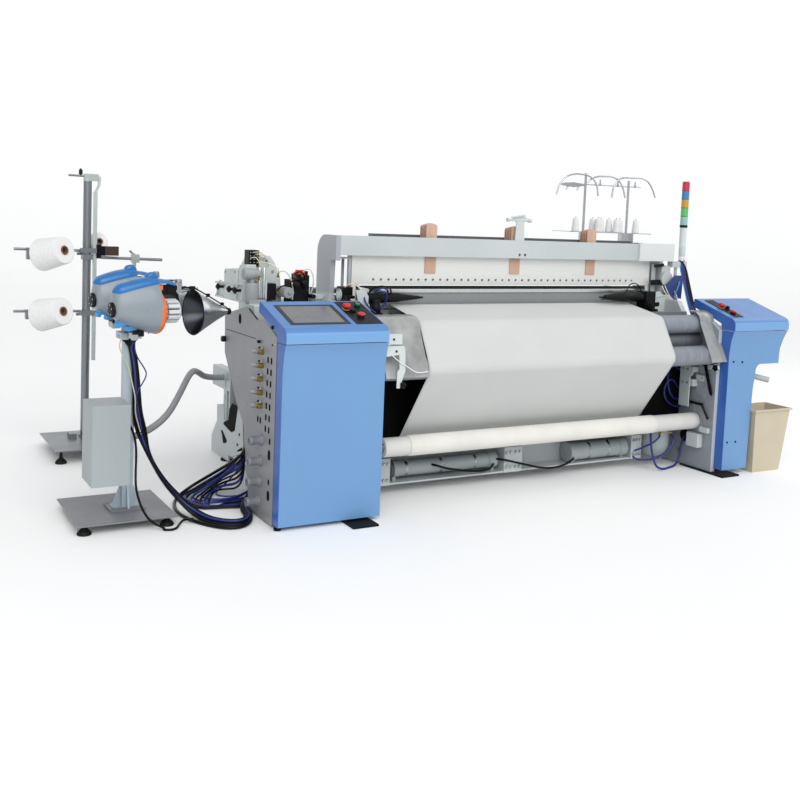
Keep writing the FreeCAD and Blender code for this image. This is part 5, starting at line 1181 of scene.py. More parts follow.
b.lathe([(0, 0), (11, 0), (11, 3), (7, 5), (7, 9), (0, 9)], T((-1841.9, p.y, p.z), (-1, 0, 0)), 28)
b.box(-1412, -1268, 284, 287, 1128, 1129.5)
b.build()
b = Batch("cabinet_screws", "blackmetal", smooth=40)
for px, py in ((733.5, 361.8), (742.2, 362.1), (726.9, 442.5), (735.2, 441.7)):
    p = at(px, py, 1, -28)
    b.capscrew((p.x, -28, p.z), (0, -1, 0), 6.5, 4)
b.build()

# left side panel: near black backing behind the slots as painted shade, seam, knob, screws
b = Batch("panel_backing", "inside")
b.box(-1838.7, -1836.3, 88, 296, 130, 885).box(-1838.7, -1836.5, 560, 610, 1000, 1030)
for y, z, w, h in ([(160 + 1.8 * k, 850 - 60 * k, 21, 36) for k in range(7)] + [(114 + 1.8 * k, 850 - 60 * k, 21, 36) for k in range(7)]
                   + [(280, 520, 21, 36), (244, 520, 21, 36), (108, 435, 21, 34), (111, 364, 36, 54), (109, 223, 20, 31), (109, 152, 36, 54), (584, 1016, 42, 56)]):
    cap = []
    for j in range(9):
        t = math.pi * j / 8
        cap.append((y + w / 2 * math.cos(t), z + (h - w) / 2 + w / 2 * math.sin(t)))
    for j in range(9):
        t = math.pi + math.pi * j / 8
        cap.append((y + w / 2 * math.cos(t), z - (h - w) / 2 + w / 2 * math.sin(t)))
    b.prism(cap, -1842.4, -1838.6)
b.build()
# The seam is a real joint, drawn near black, which is partly painted shade in the gap.
b = Batch("panel_seam", "inside")
b.prism([(341, 935.5), (801, 933.5), (801, 936.5), (341, 938.5)], -1842.7, -1841.9)
b.build()
b = Batch("panel_black_fittings", "black", smooth=40)
b.lathe([(0, 0), (15, 0), (17, 3), (17, 20), (14, 24), (0, 24)], T((-1841.9, 812, 878), (-1, 0, 0)), 28)
b.cyl((-1841.9, 276, 930), (-1, 0, 0), 8, 16).cyl((-1841.9, 109, 932), (-1, 0, 0), 5, 2).cyl((-1841.9, 106, 934), (-1, 0, 0), 6, 1.5)
b.rod((-1842, 446, 1085), (-1842, 319, 1040), 4)
for k in range(5):
    b.cyl((-1841.9, 276, 884 - 70.5 * k + 14), (-1, 0, 0), 5, 9)
b.build()
b = Batch("panel_screws", "steel", smooth=40)
for y, z in ((113, 31), (340, 31), (70, 940), (320, 1000), (600, 700), (470, 560)):
    b.capscrew((-1841.9, y, z), (-1, 0, 0), 6, 3.5)
b.build()
b = Batch("fitting_nuts_brass", "brasshex", slot="air_fittings", smooth=25)
b2 = Batch("fitting_tubes", "cleargrey", slot="air_fittings", smooth=40)
b3 = Batch("fitting_levers", "castiron", slot="air_fittings", smooth=40)
for k in range(5):
    z = 884 - 70.5 * k
    b.lathe([(0, 0), (14.5, 0), (15.5, 1.2), (15.5, 20), (14, 21.5), (0, 21.5)], T((-1842.2, 230, z - 2), (-1, 0, 0)), 6)
    b.lathe([(0, 0), (11, 0), (12, 1), (12, 14), (9, 18), (0, 18)], T((-1863, 230, z - 2), (-1, 0, 0)), 24)
    b2.lathe([(0, 0), (12.5, 0), (13.5, 2), (13.5, 24), (11, 30), (0, 31)], T((-1874, 230, z + 3), (-1, 0.12, 0.06)), 24)
    b3.lathe([(0, 0), (7, 0), (3.5, 14), (0, 15)], T((-1850, 232, z + 12), (0, 0, 1)), 16)
    b3.cyl((-1842.2, 232, z - 36), (-1, 0, 0), 5, 6)
o = b.build()
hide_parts("air_fittings")
b2.build()
b3.build()
b = Batch("union_sockets", "unions", slot="air_fittings", smooth=40)
for y, z in ((214, 423), (226, 310), (232, 201), (236, 93)):
    b.lathe([(0, 0), (30, 0), (31, 2), (29, 10), (23, 14), (22, 18), (22, 50), (24.5, 54), (24.5, 68), (23, 71), (15, 72), (13, 60), (0, 60)], T((-1842.2, y, z), (-1, 0, 0)), 40)
b.build()
# ------------------------------------------------------------------------------------------------ drive area
b = Batch("drive_castings", "castlight", slot="drive_housing", bevel=4.0)
b.box(-1700, -1290, 480, 1000, 620, 1100).box(-1800, -1700, 480, 720, 800, 1100).box(-1600, -1290, 480, 520, 584, 620)
b.prism([(640, 1094), (1132, 1094), (1139, 1183), (666, 1207), (640, 1205)], -1790, -1740)
b.box(-1740, -1680, 604, 652, 1118, 1222)
b.prism([(776, 1098), (985, 1098), (985, 1262), (978, 1268), (782, 1282), (776, 1278)], -1799, -1744)
b.prism([(650, 1098), (769, 1098), (769, 1284), (762, 1298), (750, 1304), (650, 1311)], -1789, -1730)
b.prism([(-1732, 1098), (-1552, 1098), (-1564, 1235), (-1602, 1323), (-1627, 1358), (-1699, 1365), (-1732, 1300)], 700, 890, "XZ")
o = b.build()
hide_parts("drive_housing")
# ribbed front of the long casting: rim and three slanting ribs over a shaded web
b = Batch("drive_casting_ribs", "castlight", slot="drive_housing", bevel=1.5)
b.prism([(640, 1196), (1138, 1172), (1139, 1183), (666, 1207), (640, 1205)], -1800, -1789)
b.prism([(640, 1094), (1132, 1094), (1133, 1104), (640, 1104)], -1800, -1789)
for y0, y1 in ((1132, 1060), (985, 905), (840, 760), (700, 650)):
    b.prism([(y0, 1094), (y0 - 12, 1094), (y1 - 12, 1196), (y1, 1196)], -1800, -1789)
b.build()
b = Batch("drive_grey_parts", "castiron", slot="drive_housing", smooth=40, bevel=1.0)
b.lathe([(0, 0), (34, 0), (36, 3), (36, 104), (33, 112), (26, 116), (0, 116)], T((-1772, 600, 1098)), 40)
b.lathe([(0, 0), (29, 0), (32, 3), (32, 60), (28, 64), (28, 88), (24, 95), (0, 95)], T((-1825, 600, 1262), (1, 0, 0)), 40)
b.cyl((-1772, 600, 1210), (0, 0, 1), 14, 36)
b.lathe([(0, 0), (28, 0), (31, 3), (31, 140), (0, 145)], T((-1566, 560, 1160), (0, 1, 0)), 40)
b.lathe([(0, 0), (38, 0), (38, 20), (0, 20)], T((-1372, 630, 1098)), 36)
b.box(-1800, -1700, 562, 638, 1098, 1121)
b.build()
b = Batch("drive_tray", "tray", slot="drive_housing", smooth=40)
b.lathe([(0, 0), (40, 0), (52, 10), (54, 28), (52, 30), (50, 28), (46, 12), (0, 8)], T((-1372, 630, 1116)), 44)
b.build()
b = Batch("drive_rods", "galvlight", slot="drive_housing", smooth=40)
for x in (-1733, -1706):
    b.lathe([(0, 0), (7, 0), (7, 196), (5.4, 200), (0, 200)], T((x, 590, 1098)), 20)
    b.lathe([(0, 0), (11, 0), (11, 9), (0, 9)], T((x, 590, 1122)), 6)
b.lathe([(0, 0), (9, 0), (9, 12), (0, 12)], T((-1566, 559, 1160), (0, -1, 0)), 6)
b.build()
b = Batch("terminal_box", "black", slot="drive_housing", bevel=2.0)
b.box(-1761, -1699, 690, 760, 1296, 1389).box(-1755, -1705, 700, 760, 1262, 1298)
for z in (1312, 1330, 1348, 1366):
    b.box(-1757, -1703, 684, 690.5, z - 1.5, z + 1.5)
b.build()
b = Batch("terminal_pins", "steel", slot="drive_housing", smooth=40)
for x in (-1752, -1730, -1712):
    for z in (1320, 1339, 1357, 1376):
        b.cyl((x, 690.2, z), (0, -1, 0), 3.4, 4)
b.build()
b = Batch("solenoid_blocks", "black", slot="drive_housing", bevel=3.0, smooth=40)
b.box(-1545, -1500, 600, 690, 1098, 1230).box(-1502, -1450, 600, 690, 1098, 1262).box(-1460, -1425, 605, 650, 1098, 1256)
b.box(-1676, -1612, 640, 699, 1112, 1206)
b.lathe([(0, 0), (17, 0), (17, 52), (14, 56), (0, 56)], T((-1522, 600, 1200), (0, -1, 0.15)), 28)
b.lathe([(0, 0), (15, 0), (15, 44), (12, 48), (0, 48)], T((-1475, 600, 1210), (0, -1, 0.2)), 28)
b.cyl((-1440, 622, 1255), (0, 0, 1), 11, 24)
b.lathe([(0, 0), (13, 0), (13, 60), (0, 60)], T((-1420, 606, 1140), (0, -1, 0)), 24)
b.build()
b = Batch("solenoid_red", "redplastic", slot="drive_housing", bevel=2.0)
b.box(-1500, -1452, 605, 640, 1260, 1286).box(-1514, -1498, 609, 632, 1262, 1274)
b.build()
b = Batch("drive_brassware", "brasshex", slot="drive_housing", smooth=25)
for x, y, z in ((-1522, 598, 1242), (-1475, 598, 1246), (-1618, 606, 1246), (-1605, 640, 1150), (-1750, 566, 1232)):
    b.lathe([(0, 0), (9, 0), (9, 10), (5, 12), (5, 22), (0, 22)], T((x, y, z), (0, -0.4, 1)), 6)
b.build()
b = Batch("drive_star_grips", "black", slot="drive_housing", smooth=40)
for y in (1012, 824, 726):
    b.cyl((-1789, y, 1160), (-1, 0, 0), 8, 31)
    knob(b, (-1817, y, 1160), (-1, 0, 0), 19, 15)
b.build()
b = Batch("drive_bolts", "steel", slot="drive_housing", smooth=30)
for y in (1110, 920, 780):
    b.capscrew((-1789, y, 1128), (-1, 0, 0), 7, 6)
for x, z in ((-1712, 1290), (-1650, 1330), (-1612, 1270), (-1590, 1180), (-1712, 1160)):
    b.hexbolt((x, 700, z), (0, -1, 0), 7, 6)
for y, z in ((800, 1180), (960, 1170), (800, 1260), (960, 1250)):
    b.capscrew((-1799, y, z), (-1, 0, 0), 6, 5)
b.build()
WIRE = 3.2
for k, (x0, z0, x1, y1, z1) in enumerate(((-1738, 1376, -1668, 700, 1340), (-1722, 1366, -1650, 700, 1322), (-1706, 1350, -1640, 700, 1300), (-1752, 1346, -1702, 640, 1240), (-1708, 1320, -1618, 606, 1266))):
    cord("terminal_wire_%d" % (k + 1), [(x0, 688, z0), (x0 + 6, 668, z0 + 2), (x0 + 24, 654, z0 + 6), (x1 - 14, y1 - 30, (z0 + z1) / 2 + 12), (x1, y1 - 14, z1 + 8), (x1, y1 - 0.5, z1)], WIRE,
         "cablewhite" if k % 3 else "cablecream")
for k, pts in enumerate((
        [(-1618, 604, 1266), (-1600, 590, 1290), (-1560, 580, 1262), (-1535, 584, 1200), (-1530, 592, 1150), (-1530, 599.5, 1120)],
        [(-1475, 596, 1266), (-1468, 580, 1292), (-1440, 560, 1296), (-1420, 552, 1240), (-1424, 566, 1170), (-1425, 604.5, 1130)],
        [(-1522, 596, 1262), (-1510, 570, 1284), (-1480, 556, 1270), (-1462, 566, 1200), (-1462, 599.5, 1180)],
        [(-1605, 638, 1170), (-1600, 600, 1196), (-1580, 570, 1200), (-1560, 540, 1230), (-1520, 540, 1240), (-1500, 570, 1236), (-1500, 599.5, 1226)])):
    cord("solenoid_lead_%d" % (k + 1), pts, 4.0, ("cablewhite", "cablewhite", "cableblack", "cableblack")[k])

# ------------------------------------------------------------------------------------------------ feeder stand leads
def lane(pts, off, r, base_r=11.0):
    out = []
    for i, p in enumerate(pts):
        a, b = Vector(pts[max(0, i - 1)]), Vector(pts[min(len(pts) - 1, i + 1)])
        t = (b - a).normalized()
        h = Vector((t.x, t.y, 0))
        side = Vector((-h.y, h.x, 0))
        fixed = Vector((0.87, -0.49, 0)) if i < 7 else Vector((-0.45, -0.89, 0)) if i > 13 else side
        w = min(1.0, max(0.0, (h.length - 0.35) / 0.4))
        n = fixed.normalized() * (1 - w) + (side.normalized() if side.length > 0.01 else fixed) * w
        n.normalize()
        q = Vector(p) + n * off
        if p[2] < 60:
            q.z = max(r + 0.5, p[2] - (base_r - r))
        out.append(tuple(q))
    return out


b = Batch("stand_tie_bands", "black", smooth=40)
for k, (off, lift, mat) in enumerate(((-18, 0, "cableblack"), (18, 0, "cableblack"), (-32, 0, "cableblack"), (31, 0, "cableblack"), (-9, 14, "cablenavy"), (10, 14, "cableblack"))):
    q = lane(BASE, off, 6.5)
    n = len(q)
    for i in range(n):
        x, y, z = q[i]
        bx, by, bz = BASE[i]
        if i > 13:
            x, y = bx + (x - bx) * 0.55, by + (y - by) * 0.55
        if i < 7:
            f = (0.34, 0.34, 0.36, 0.42, 0.5, 0.62, 0.85)[i]
            x, y = bx + (x - bx) * f, by + (y - by) * f - (9.0 if lift else 0.0)
        if z < 60:
            z += lift
        q[i] = (x, y, z)
    q[0] = (-2508 + 12 * k if k < 3 else -2452 + 5 * (k - 3), 452 + 9 * (k % 2), 934.6)
    q[-1] = (q[-1][0], q[-1][1], 619.6)
    cord("stand_lead_%d" % (k + 1), q, 6.5, mat)
def torus(b, c, d, R, r):
    pts = [(R + r * math.cos(math.pi * j / 5), r * math.sin(math.pi * j / 5)) for j in range(11)]
    b.lathe(pts, T(c, d), 28)
torus(b, (-2411, 446, 460), (0.32, -0.06, -1), 27, 3.2)
torus(b, (-2434, 446, 600), (0.05, 0, -1), 19, 3.0)
b.build()
cord("stand_blue_loop", [(-2449, 447, 934.6), tuple(at(134, 346, 1, 432)), tuple(at(137, 357.4, 1, 432)), tuple(at(143, 366, 1, 436)), tuple(at(147.2, 373.5, 1, 438)), tuple(at(143.5, 382, 1, 436)),
                         tuple(at(138, 390, 1, 430)), tuple(at(136.2, 398, 1, 428)), tuple(at(138.2, 409, 1, 428)), tuple(at(141.5, 430, 1, 426))], 3.4, "bluehose")
cord("stand_cream_lead", [(-2512, 439.6, 950), tuple(at(118.5, 343, 1, 440)), tuple(at(121, 353, 1, 444)), tuple(at(128.6, 365.8, 1, 452)), tuple(at(132, 382.6, 1, 436)), tuple(at(135.6, 398, 1, 424)),
                          tuple(at(135, 412, 1, 424)), tuple(at(137.5, 422, 1, 424)), tuple(at(141, 434, 1, 424))], 3.2, "cablecream")
# thin lead that leaves the control box, drops over the base plate edge and joins the others on the floor
cord("box_lead", [(-2496.5, 443, 520), (-2470, 430, 505), (-2462, 330, 420), (-2490, 244, 264), (-2481, 240, 189), (-2450, 236, 101), (-2405, 232, 40), (-2340, 226, 8),
                  tuple(at(163, 530, 2, 7)), tuple(at(176, 529.5, 2, 7)), tuple(at(180, 523, 2, 7)), tuple(at(184, 519, 2, 14)), tuple(at(193, 519, 2, 30))], 6.0, "cableblack")
# heavy lead that swings out on the floor and back under the panel
cord("heavy_floor_lead", [(-1599.5, 1030, 340), (-1700, 860, 335), (-1842, 425, 322), tuple(at(236, 459.5, 2, 255)), tuple(at(222, 468, 2, 170)), tuple(at(205, 478, 2, 100)), tuple(at(190, 487, 2, 46)),
                          tuple(at(178, 496, 2, 16)), tuple(at(173, 504, 2, 10)), tuple(at(178, 514, 2, 10)), tuple(at(198, 523, 2, 10)), tuple(at(229, 529, 2, 10)), tuple(at(250, 525, 2, 10)),
                          (-1853, 300, 12), (-1852, 396, 12), (-1790, 430, 60), (-1750, 470, 230), (-1740, 520, 420), (-1740, 560, 799.5)], 9.0, "cableblack")
cord("upper_tube_1", [(-1599.5, 1020, 300), (-1700, 850, 300), (-1838, 470, 288), tuple(at(222, 472, 2, 150)), tuple(at(204, 482, 2, 80)), tuple(at(190, 491, 2, 28)), tuple(at(184, 498, 2, 7)),
                      tuple(at(192, 504, 2, 7)), tuple(at(215, 506, 2, 7)), tuple(at(240, 504, 2, 7)), (-1740, 500, 16), (-1690, 520, 60), (-1650, 520, 250), (-1650, 560, 619.5)], 5.0, "bluehose")
cord("upper_tube_2", [(-1599.5, 1000, 270), (-1700, 840, 270), (-1836, 500, 250), tuple(at(222, 476, 2, 130)), tuple(at(205, 486, 2, 60)), tuple(at(194, 493, 2, 20)), tuple(at(192, 498, 2, 7)),
                      tuple(at(202, 501.5, 2, 7)), tuple(at(222, 501, 2, 7)), tuple(at(243, 498, 2, 7)), (-1700, 560, 16), (-1660, 590, 60), (-1640, 600, 250), (-1640, 600, 619.5)], 5.0, "bluehose")
# Seven black and navy leads in a loop on the floor; packed close, they also fill the dark patch between the upper and
# lower leads, standing in for shade there.
for k in range(7):
    f = k / 6.0
    x0, y0, z0 = -1842 + 2 * k, 432 + 5 * k, 300 - 34 * k
    pl, pm, pr = (181 + 4.5 * k, 495 + 1.2 * k), (190 + 5 * k, 506 - 0.6 * k), (247, 507.0 - 1.4 * k)
    cord("floor_lead_%d" % (k + 1), [(-1599.5, 1010 - 14 * k, 310 - 12 * k), (-1700, 850, 300 - 14 * k), (x0, y0 + 30, z0 - 4),
                                     tuple(at(226 - 2 * k + 4 * f, 470 + 3.2 * k, 2, 150 - 19 * k)), tuple(at(203 + 1.5 * k, 484 + 1.6 * k, 2, 72 - 9 * k)), tuple(at(pl[0], pl[1], 2, 16)),
                                     tuple(at(pl[0] + 1, pl[1] + 6, 2, 8)), tuple(at(pm[0] + 8, pm[1] + 3, 2, 8)), tuple(at(222, 507.5 - 0.9 * k, 2, 8)), tuple(at(pr[0], pr[1], 2, 9)),
                                     (-1750 + 9 * k, 560 + 8 * k, 14), (-1690 + 6 * k, 600 + 6 * k, 60), (-1668 + 5 * k, 620 + 8 * k, 250), (-1664 + 5 * k, 620 + 8 * k, 619.6)],
         5.5 + (k % 3), "cableblack" if k % 3 != 2 else "cablenavy")
# blue tubes that loop on the floor between the stand and the side panel
for k, (f1, dz, z_end) in enumerate(((0.80, 22, 300), (0.62, 44, 340))):
    pts = []
    far = Vector((-1602, 760, 0))
    for (x, y, z) in [(-1601.5, 900, 200), (-1700, 868, 150), (-1900, 815, 75), (-2040, 765, 22), (-2115, 680, 9.5), (-2060, 590, 9), (-1940, 560, 9), (-1820, 600, 14), (-1700, 640, 50), (-1601.8, 650, 72)]:
        q = far + (Vector((x, y, 0)) - far) * Vector((f1, f1, 0)).x if x < -1610 else Vector((x, y - (140 * (1 - f1) if y > 800 else -110 * (1 - f1)), 0))
        pts.append((q.x, q.y, max(5.6 + 0.5 * k, z + (dz if x > -1705 else 0))))
    cord("floor_tube_%d" % (k + 1), pts, 4.5, "bluehose")

b = Batch("rear_bracket", "frame", bevel=1.5)
slab(b, [(217, 404), (223.6, 404), (224.2, 420), (226.5, 428), (231, 432.3), (234.6, 431), (237.6, 409), (240, 405), (243.3, 421.7), (246, 440), (247.5, 452), (231, 457), (216.7, 447.5)], 0, -1606, 6.5)
b.build()
# Dark patches in the bracket's openings: painted shade.
b = Batch("rear_bracket_dark", "inside")
for poly in ([(232, 403.3), (236.7, 405.8), (237.5, 409), (234.2, 430.8), (230.8, 431.7), (226.7, 427.5), (223.3, 424), (223.8, 422), (228.3, 420), (229.2, 409)],
             [(220.8, 429.6), (222.5, 430.8), (226.7, 440.8), (225.8, 443), (222.9, 443), (222, 435)],
             [(236.7, 450.8), (241.7, 447.5), (242.5, 450.4), (237.5, 451.8)],
             [(241.7, 415), (243.3, 421.7), (245.4, 437.5), (247.5, 451.7), (243.3, 450), (242.9, 425)],
             [(238.6, 433.2), (239.8, 433.4), (239.6, 436), (238.6, 436)], [(236.5, 443.4), (237.7, 443.6), (237.6, 446), (236.5, 446)]):
    slab(b, poly, 0, -1607.6, 2.0)
b.build()

# ------------------------------------------------------------------------------------------------ around the cloth
# dark sheet below the rollers, between the frames: painted shade for the shadowed inside of the machine
b = Batch("shade_sheet_under_rollers", "inside")
b.box(-1249.6, 1249.6, 352, 355, 240, 700)
b.box(-1249.6, 1249.6, 352, 470, 240, 243)
b.build()
cord("shield_hose_1", [(1249.4, 344, 520), (1215, 338, 522), (1150, 330, 600), (1085, 328, 560), (1075, 326, 480), (1130, 328, 420), (1215, 338, 395), (1249.4, 344, 392)], 6.0, "bluehose")
cord("shield_hose_2", [(1249.4, 346, 650), (1215, 342, 648), (1165, 336, 690), (1105, 334, 640), (1120, 332, 520), (1170, 334, 455), (1222, 340, 448), (1249.4, 346, 450)], 6.0, "bluehose")
b = Batch("guard_wing", "wing")
b.prism([(222, 1065), (181, 1061), (134, 1043), (114, 998), (-16, 752), (-18, 752), (112, 999.5), (132, 1045.5), (180, 1063.8), (222, 1067.8)], 1249.6, 1279.2)
b.build()
# left: the white bracket with its grip, carried by the cabinet side
b = Batch("left_temple_bracket", "castlight", bevel=1.5)
slab(b, [(386.5, 334), (402.6, 334), (402.6, 344.5), (386.5, 344.5)], 1, -24, 6)
slab(b, [(385, 346.5), (404.5, 346), (405.6, 350), (405.6, 371), (402.8, 379), (399.8, 388.5), (396.7, 388.5), (397.5, 372), (399.8, 369), (399.5, 355), (385, 357)], 1, -24, 6)
q = at(386.5, 340, 1, -24)
b.box(-1262, q.x + 30, -22, -17, q.z - 30, q.z + 18)
q = at(386.5, 352, 1, -24)
b.box(-1262, q.x + 30, -22, -17, q.z - 26, q.z + 10)
b.build()
b = Batch("left_bracket_grip", "black", smooth=40)
p = at(402.5, 385, 1, -24)
knob(b, (p.x, -24, p.z), (0, -1, 0), 19, 14, 5)
for px, py in ((394, 339.5), (396.5, 351.5)):
    p = at(px, py, 1, -24)
    b.capscrew((p.x, -24, p.z), (0, -1, 0), 6, 4)
b.build()
cord("left_guard_cord", [(-1262, 20, at(386, 352, 1, 0).z), (-1240, -26, at(388, 352, 1, -26).z), tuple(at(398, 361, 1, -32)), tuple(at(408, 367, 1, -30)), tuple(at(415, 372, 1, -24)), tuple(at(421, 373, 1, -20)), tuple(at(428, 371.5, 1, -18))],
     2.4, "white")

# right: star grip, clamp screws and joints at the lever bracket
b = Batch("right_star_grip", "black", slot=None, smooth=40)
knob(b, (1222, 30, 706), (1, 0, 0), 27, 14, 5)
b.cyl((1249, 282, 209), (-1, 0, 0), 41, 3.5)
b.build()
b = Batch("right_bracket_bolts", "steel", smooth=30)
for y, z in ((60, 704), (85, 704), (150, 620), (180, 600), (230, 670), (270, 670), (230, 580), (270, 580)):
    b.hexbolt((1190 if y > 200 else 1234, y, z), (-1, 0, 0), 6, 5) if y > 200 else b.capscrew((1238.8, y, z), (-1, 0, 0), 6, 5)
for y, z in ((170, 300), (230, 320), (170, 350)):
    b.capscrew((1243, y, z), (-1, 0, 0), 8, 6)
b.build()

# temples: knobs, hoses and the valve beside them
b = Batch("temple_left_black", "black", slot=None, smooth=40, bevel=1.0)
b.lathe([(0, 0), (30, 0), (31, 4), (31, 70), (28, 76), (28, 150), (29, 168), (22, 200), (16, 262), (9, 300), (6, 322), (0, 322)], T((-1118, 438, 1142), (1, 0, 0)), 40)
b.lathe([(0, 0), (27.4, 0), (29, 3), (29, 40), (26, 46), (26, 70), (22, 76), (0, 76)], T((-1108, 388, 1062)), 36)
b.build()
b = Batch("temple_right_black", "black", slot=None, smooth=40, bevel=1.0)
b.lathe([(0, 0), (33, 0), (34, 4), (34, 40), (31, 46), (31, 140), (33, 150), (33, 188), (30, 204), (22, 280), (15, 342), (6, 345), (5, 385), (0, 385)], T((952, 438, 1138), (-1, 0, 0)), 40)
b.box(929, 1013, 391, 479, 1061, 1177)
knob(b, (956, 391.5, 1094), (0, -1, 0), 27, 18, 8)
b.build()
for k, pts in enumerate((
        [(-1110, 400, 1172), (-1112, 380, 1192), (-1080, 372, 1204), (-1040, 384, 1196), (-1020, 410, 1176), (-1012, 430, 1171)],
        [(-1135, 420, 1172), (-1142, 396, 1196), (-1100, 362, 1216), (-1050, 362, 1210), (-1010, 392, 1190), (-990, 430, 1172)],
        [(-1095, 404, 1172), (-1090, 360, 1184), (-1058, 352, 1176), (-1052, 372, 1120), (-1070, 376, 1090), (-1082, 378, 1075)],
        [(-1149, 440, 1160), (-1172, 420, 1170), (-1180, 390, 1130), (-1150, 372, 1080), (-1120, 362, 1062.5)])):
    cord("temple_hose_%d" % (k + 1), pts, 5.0, "cablenavy" if k != 1 else "cableblack")
cord("temple_arc_lead", [(930, 440, 1172), (900, 430, 1215), (850, 428, 1235), (800, 430, 1215), (790, 434, 1172)], 3.5, "cableblack")

# left inner corner: lever box with a pale disc, cream brackets, red lead
b = Batch("corner_lever_box", "black", bevel=2.0, smooth=40)
b.box(-1255, -1190, 520, 600, 1133, 1196).box(-1255, -1229, 470, 600, 1100, 1133).box(-1250, -1200, 470, 520, 1133, 1150)
b.build()
b = Batch("corner_disc", "lightgrey", smooth=40)
b.lathe([(0, 0), (22, 0), (24, 2), (24, 6), (20, 8), (0, 8)], T((-1256, 560, 1150), (-1, 0, 0)), 36)
b.lathe([(30, 0), (34, 0), (34, 5), (30, 5)], T((-1256, 560, 1150), (-1, 0, 0)), 40, closed=True)
b.build()
b = Batch("corner_brackets", "castlight", bevel=1.5)
slab(b, [(356, 290), (366, 291), (369, 297), (370, 309), (374, 316), (371, 320), (364, 313), (358, 300)], 1, 400, 8)
slab(b, [(360, 287), (369, 289), (370, 298), (363, 298)], 1, 440, 30)
b.box(-1249, -1180, 395, 440, 1046, 1072)
b.build()
cord("corner_red_lead", [(-1220, 530, 1196), (-1212, 500, 1216), (-1180, 476, 1214), (-1160, 470, 1180), (-1156, 470, 1112)], 3.2, "redplastic")
cord("corner_cream_lead", [(-1240, 520, 1196), (-1236, 480, 1220), (-1190, 440, 1210), (-1170, 424, 1150), (-1168, 410, 1072)], 4.0, "cablewhite")

# ------------------------------------------------------------------------------------------------ right head: dark blue plate, leads to the right console
b = Batch("head_blue_plate", "deepplate", bevel=1.0)
slab(b, [(664.5, 287), (675, 275.5), (683.5, 275.5), (681, 299), (672, 297)], 1, 560, 6)
b.box(1290, 1330, 566, 600, 1141, 1200)
b.build()
b = Batch("head_casting_blocks", "castlight", bevel=2.0)
slab(b, [(654, 296.5), (668, 295), (677, 305), (682, 313), (660, 315.5), (654, 313)], 1, 545, 20)
slab(b, [(651, 293), (660, 291.5), (664, 296), (655, 298.5)], 1, 540, 14)
b.build()
b = Batch("head_dark_bits", "black", bevel=1.0, smooth=40)
slab(b, [(653.8, 302.5), (659, 302), (659, 306), (653.8, 306.5)], 1, 544, -3)
slab(b, [(655, 264.5), (664, 263.5), (664.5, 266.5), (655, 267.5)], 1, 588, 10)
slab(b, [(651.5, 280), (669, 279.5), (669, 284.5), (651.5, 285)], 1, 600, 12)
b.build()
TOP = Vector((1440, 600, 1376))
for k, (mat, r, dx) in enumerate((("cablenavy", 9.0, 0.0), ("cableblack", 8.0, 2.4), ("cablenavy", 7.5, -1.9), ("cableblack", 6.0, 1.0), ("cablelight", 3.5, -3.2))):
    pts = [tuple(TOP + Vector((9 * k - 26, -4 * (k % 2), 0)))]
    for px, py, y in ((682.5, 265, 592), (685.5, 279, 570 - 8 * (k % 2)), (688, 291, 536 - 10 * (k % 2)), (690.5, 303, 470 - 9 * (k % 2)), (693.5, 313, 410)):
        pts.append(tuple(at(px + dx, py, 1, y)))
    q = pts[-1]
    pts += [(q[0] - 6, 372, 985), (q[0] - 8, 366, 940.6)]
    cord("tower_lead_%d" % (k + 1), pts, r, mat)
for k, (mat, r, pts) in enumerate((
        ("bluehose", 7.0, [(670, 293, 560), (674, 299, 540), (678, 306, 520), (683, 313, 480), (686, 318.5, 440)]),
        ("cablelight", 4.0, [(680.5, 276, 590), (679.5, 281, 566), (678.5, 285, 546), (676.5, 292, 530), (673, 296.5, 556)]),
        ("cablewhite", 3.6, [(662, 286, 556), (664.5, 292, 530), (669, 298, 525), (676, 303, 540), (681, 309, 545)]),
        ("cablewhite", 3.2, [(665, 286, 556), (667.5, 293, 526), (673, 300, 520), (679, 305, 544)]))):
    cord("head_lead_%d" % (k + 1), [tuple(at(x, y, 1, d)) for x, y, d in pts], r, mat)

# ------------------------------------------------------------------------------------------------ front girder, tanks
b = Batch("girder_bolts", "steel", smooth=30)
for x in (-1040, -1014, -180, -150, -110, -80, 850, 880, 905):
    for z in (96, 190):
        b.hexbolt((x, 346, z), (0, -1, 0), 9, 8)
b.build()
b = Batch("tank_caps_dark", "dark", smooth=40)
b.lathe([(0, 0), (44, 0), (50.6, 5), (51, 8), (51, 26), (46, 30), (0, 30)], T((-981, 412, 140), (1, 0, 0)), 48)
b.build()
b = Batch("tank_bands", "steel", smooth=40)
for x, r in ((-880, 46.6), (-640, 46.6), (-400, 46.6), (480, 58.6), (640, 58.6)):
    b.lathe([(r - 1, 0), (r, 0), (r, 18), (r - 1, 18)], T((x, 412 if x < 0 else 405, 140), (1, 0, 0)), 48, closed=True)
b.build()
b = Batch("round_tank_fittings", "brasshex", smooth=30)
b.lathe([(0, 0), (20, 0), (20, 14), (12, 16), (12, 30), (0, 30)], T((1040, 364, 295)), 6)
for a in (200, 250, 300):
    d = Vector((math.cos(math.radians(a)), math.sin(math.radians(a)), 0))
    b.lathe([(0, 0), (12, 0), (12, 14), (8, 16), (8, 26), (0, 26)], T(tuple(Vector((1040, 364, 240)) + d * 103), tuple(d)), 6)
b.build()
cord("round_tank_hose_1", [(1005, 270, 238), (985, 236, 232), (930, 240, 190), (905, 300, 150), (880, 345, 120), (838.5, 356, 110)], 6, "bluehose")
cord("round_tank_hose_2", [(1091, 276, 238), (1108, 232, 226), (1060, 210, 150), (980, 236, 80), (900, 300, 60), (860, 340, 62), (850, 345.5, 84)], 6, "bluehose")
cord("round_tank_hose_3", [(943, 330, 238), (920, 318, 246), (900, 330, 300), (900, 345, 340), (905, 351.5, 380)], 6, "bluehose")
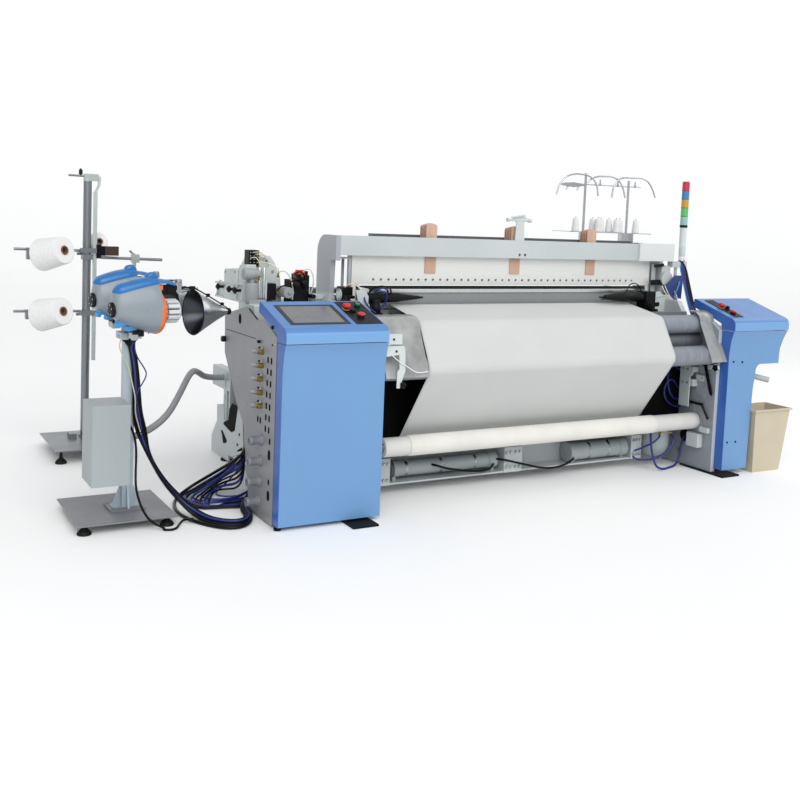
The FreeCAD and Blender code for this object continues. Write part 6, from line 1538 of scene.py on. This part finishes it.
cord("floor_loop_hose", [(1040, 364, 325), (1020, 340, 350), (960, 300, 330), (915, 260, 200), (930, 225, 40), (990, 215, 9), (1080, 240, 9), (1160, 262, 12), (1200, 272, 60), (1216, 280, 160), (1245, 282, 205)], 7, "bluehose")
cord("girder_black_hose_1", [(-700, 368.2, 155), (-700, 338, 160), (-650, 312, 142), (-500, 306, 112), (-380, 314, 98), (-300, 330, 106), (-264, 365.8, 120)], 7, "cableblack")
cord("girder_black_hose_2", [(-240, 362.6, 150), (-236, 326, 158), (-120, 300, 130), (100, 300, 70), (280, 320, 80), (345, 343, 110)], 7, "cableblack")

# ------------------------------------------------------------------------------------------------ finish
lights = [("key_box", (-4.5, -6.0, 4.5), 4.0, 95, (1.0, 0.99, 0.97)), ("rim_box", (6.0, -1.0, 4.5), 4.0, 60, (0.97, 0.985, 1.0))]
for name, loc, size, watt, colr in lights:
    d = bpy.data.lights.new(name, "AREA")
    d.shape = "SQUARE"
    d.size = size
    d.energy = watt
    d.color = colr
    o = bpy.data.objects.new(name, d)
    bpy.context.scene.collection.objects.link(o)
    o.location = loc
    o.rotation_euler = (Vector((0, 0, 0.8)) - Vector(loc)).to_track_quat("-Z", "Y").to_euler()
d = bpy.data.lights.new("soft_sun", "SUN")
d.energy = 1.45
d.angle = math.radians(50)
d.color = (1.0, 0.995, 0.985)
o = bpy.data.objects.new("soft_sun", d)
bpy.context.scene.collection.objects.link(o)
o.rotation_euler = Vector((0.05, 0.76, -0.65)).to_track_quat("-Z", "Y").to_euler()

world = bpy.data.worlds.new("studio")
bpy.context.scene.world = world
world.use_nodes = True
world.node_tree.nodes["Background"].inputs[0].default_value = (0.97, 0.985, 1.0, 1)
world.node_tree.nodes["Background"].inputs[1].default_value = 0.62

g = Mat("pale_floor")
g.color(g.mix(g.span(g.noise(0.6, 3.0), 0, 1), (0.945, 0.945, 0.945, 1), (0.96, 0.96, 0.96, 1)))
g.rough(g.span(g.noise(3.0, 3.0), 0.7, 0.8))
M["floor"] = g
verts, faces, rows = [], [], [(-30.0, 0.0), (12.0, 0.0)]
for k in range(1, 25):
    t = math.pi / 2 * k / 24
    rows.append((12.0 + 22.0 * math.sin(t), 22.0 * (1 - math.cos(t))))
for i, (y, z) in enumerate(rows):
    verts += [(-60, y, z), (60, y, z)]
    if i:
        faces.append((2 * i - 2, 2 * i - 1, 2 * i + 1, 2 * i))
me = bpy.data.meshes.new("backdrop")
me.from_pydata(verts, [], faces)
for f in me.polygons:
    f.use_smooth = True
floor = bpy.data.objects.new("backdrop", me)
bpy.context.scene.collection.objects.link(floor)
floor.rotation_euler = (0, 0, math.radians(-29.4))
me.materials.append(g.m)

bpy.context.scene.view_settings.view_transform = "Standard"
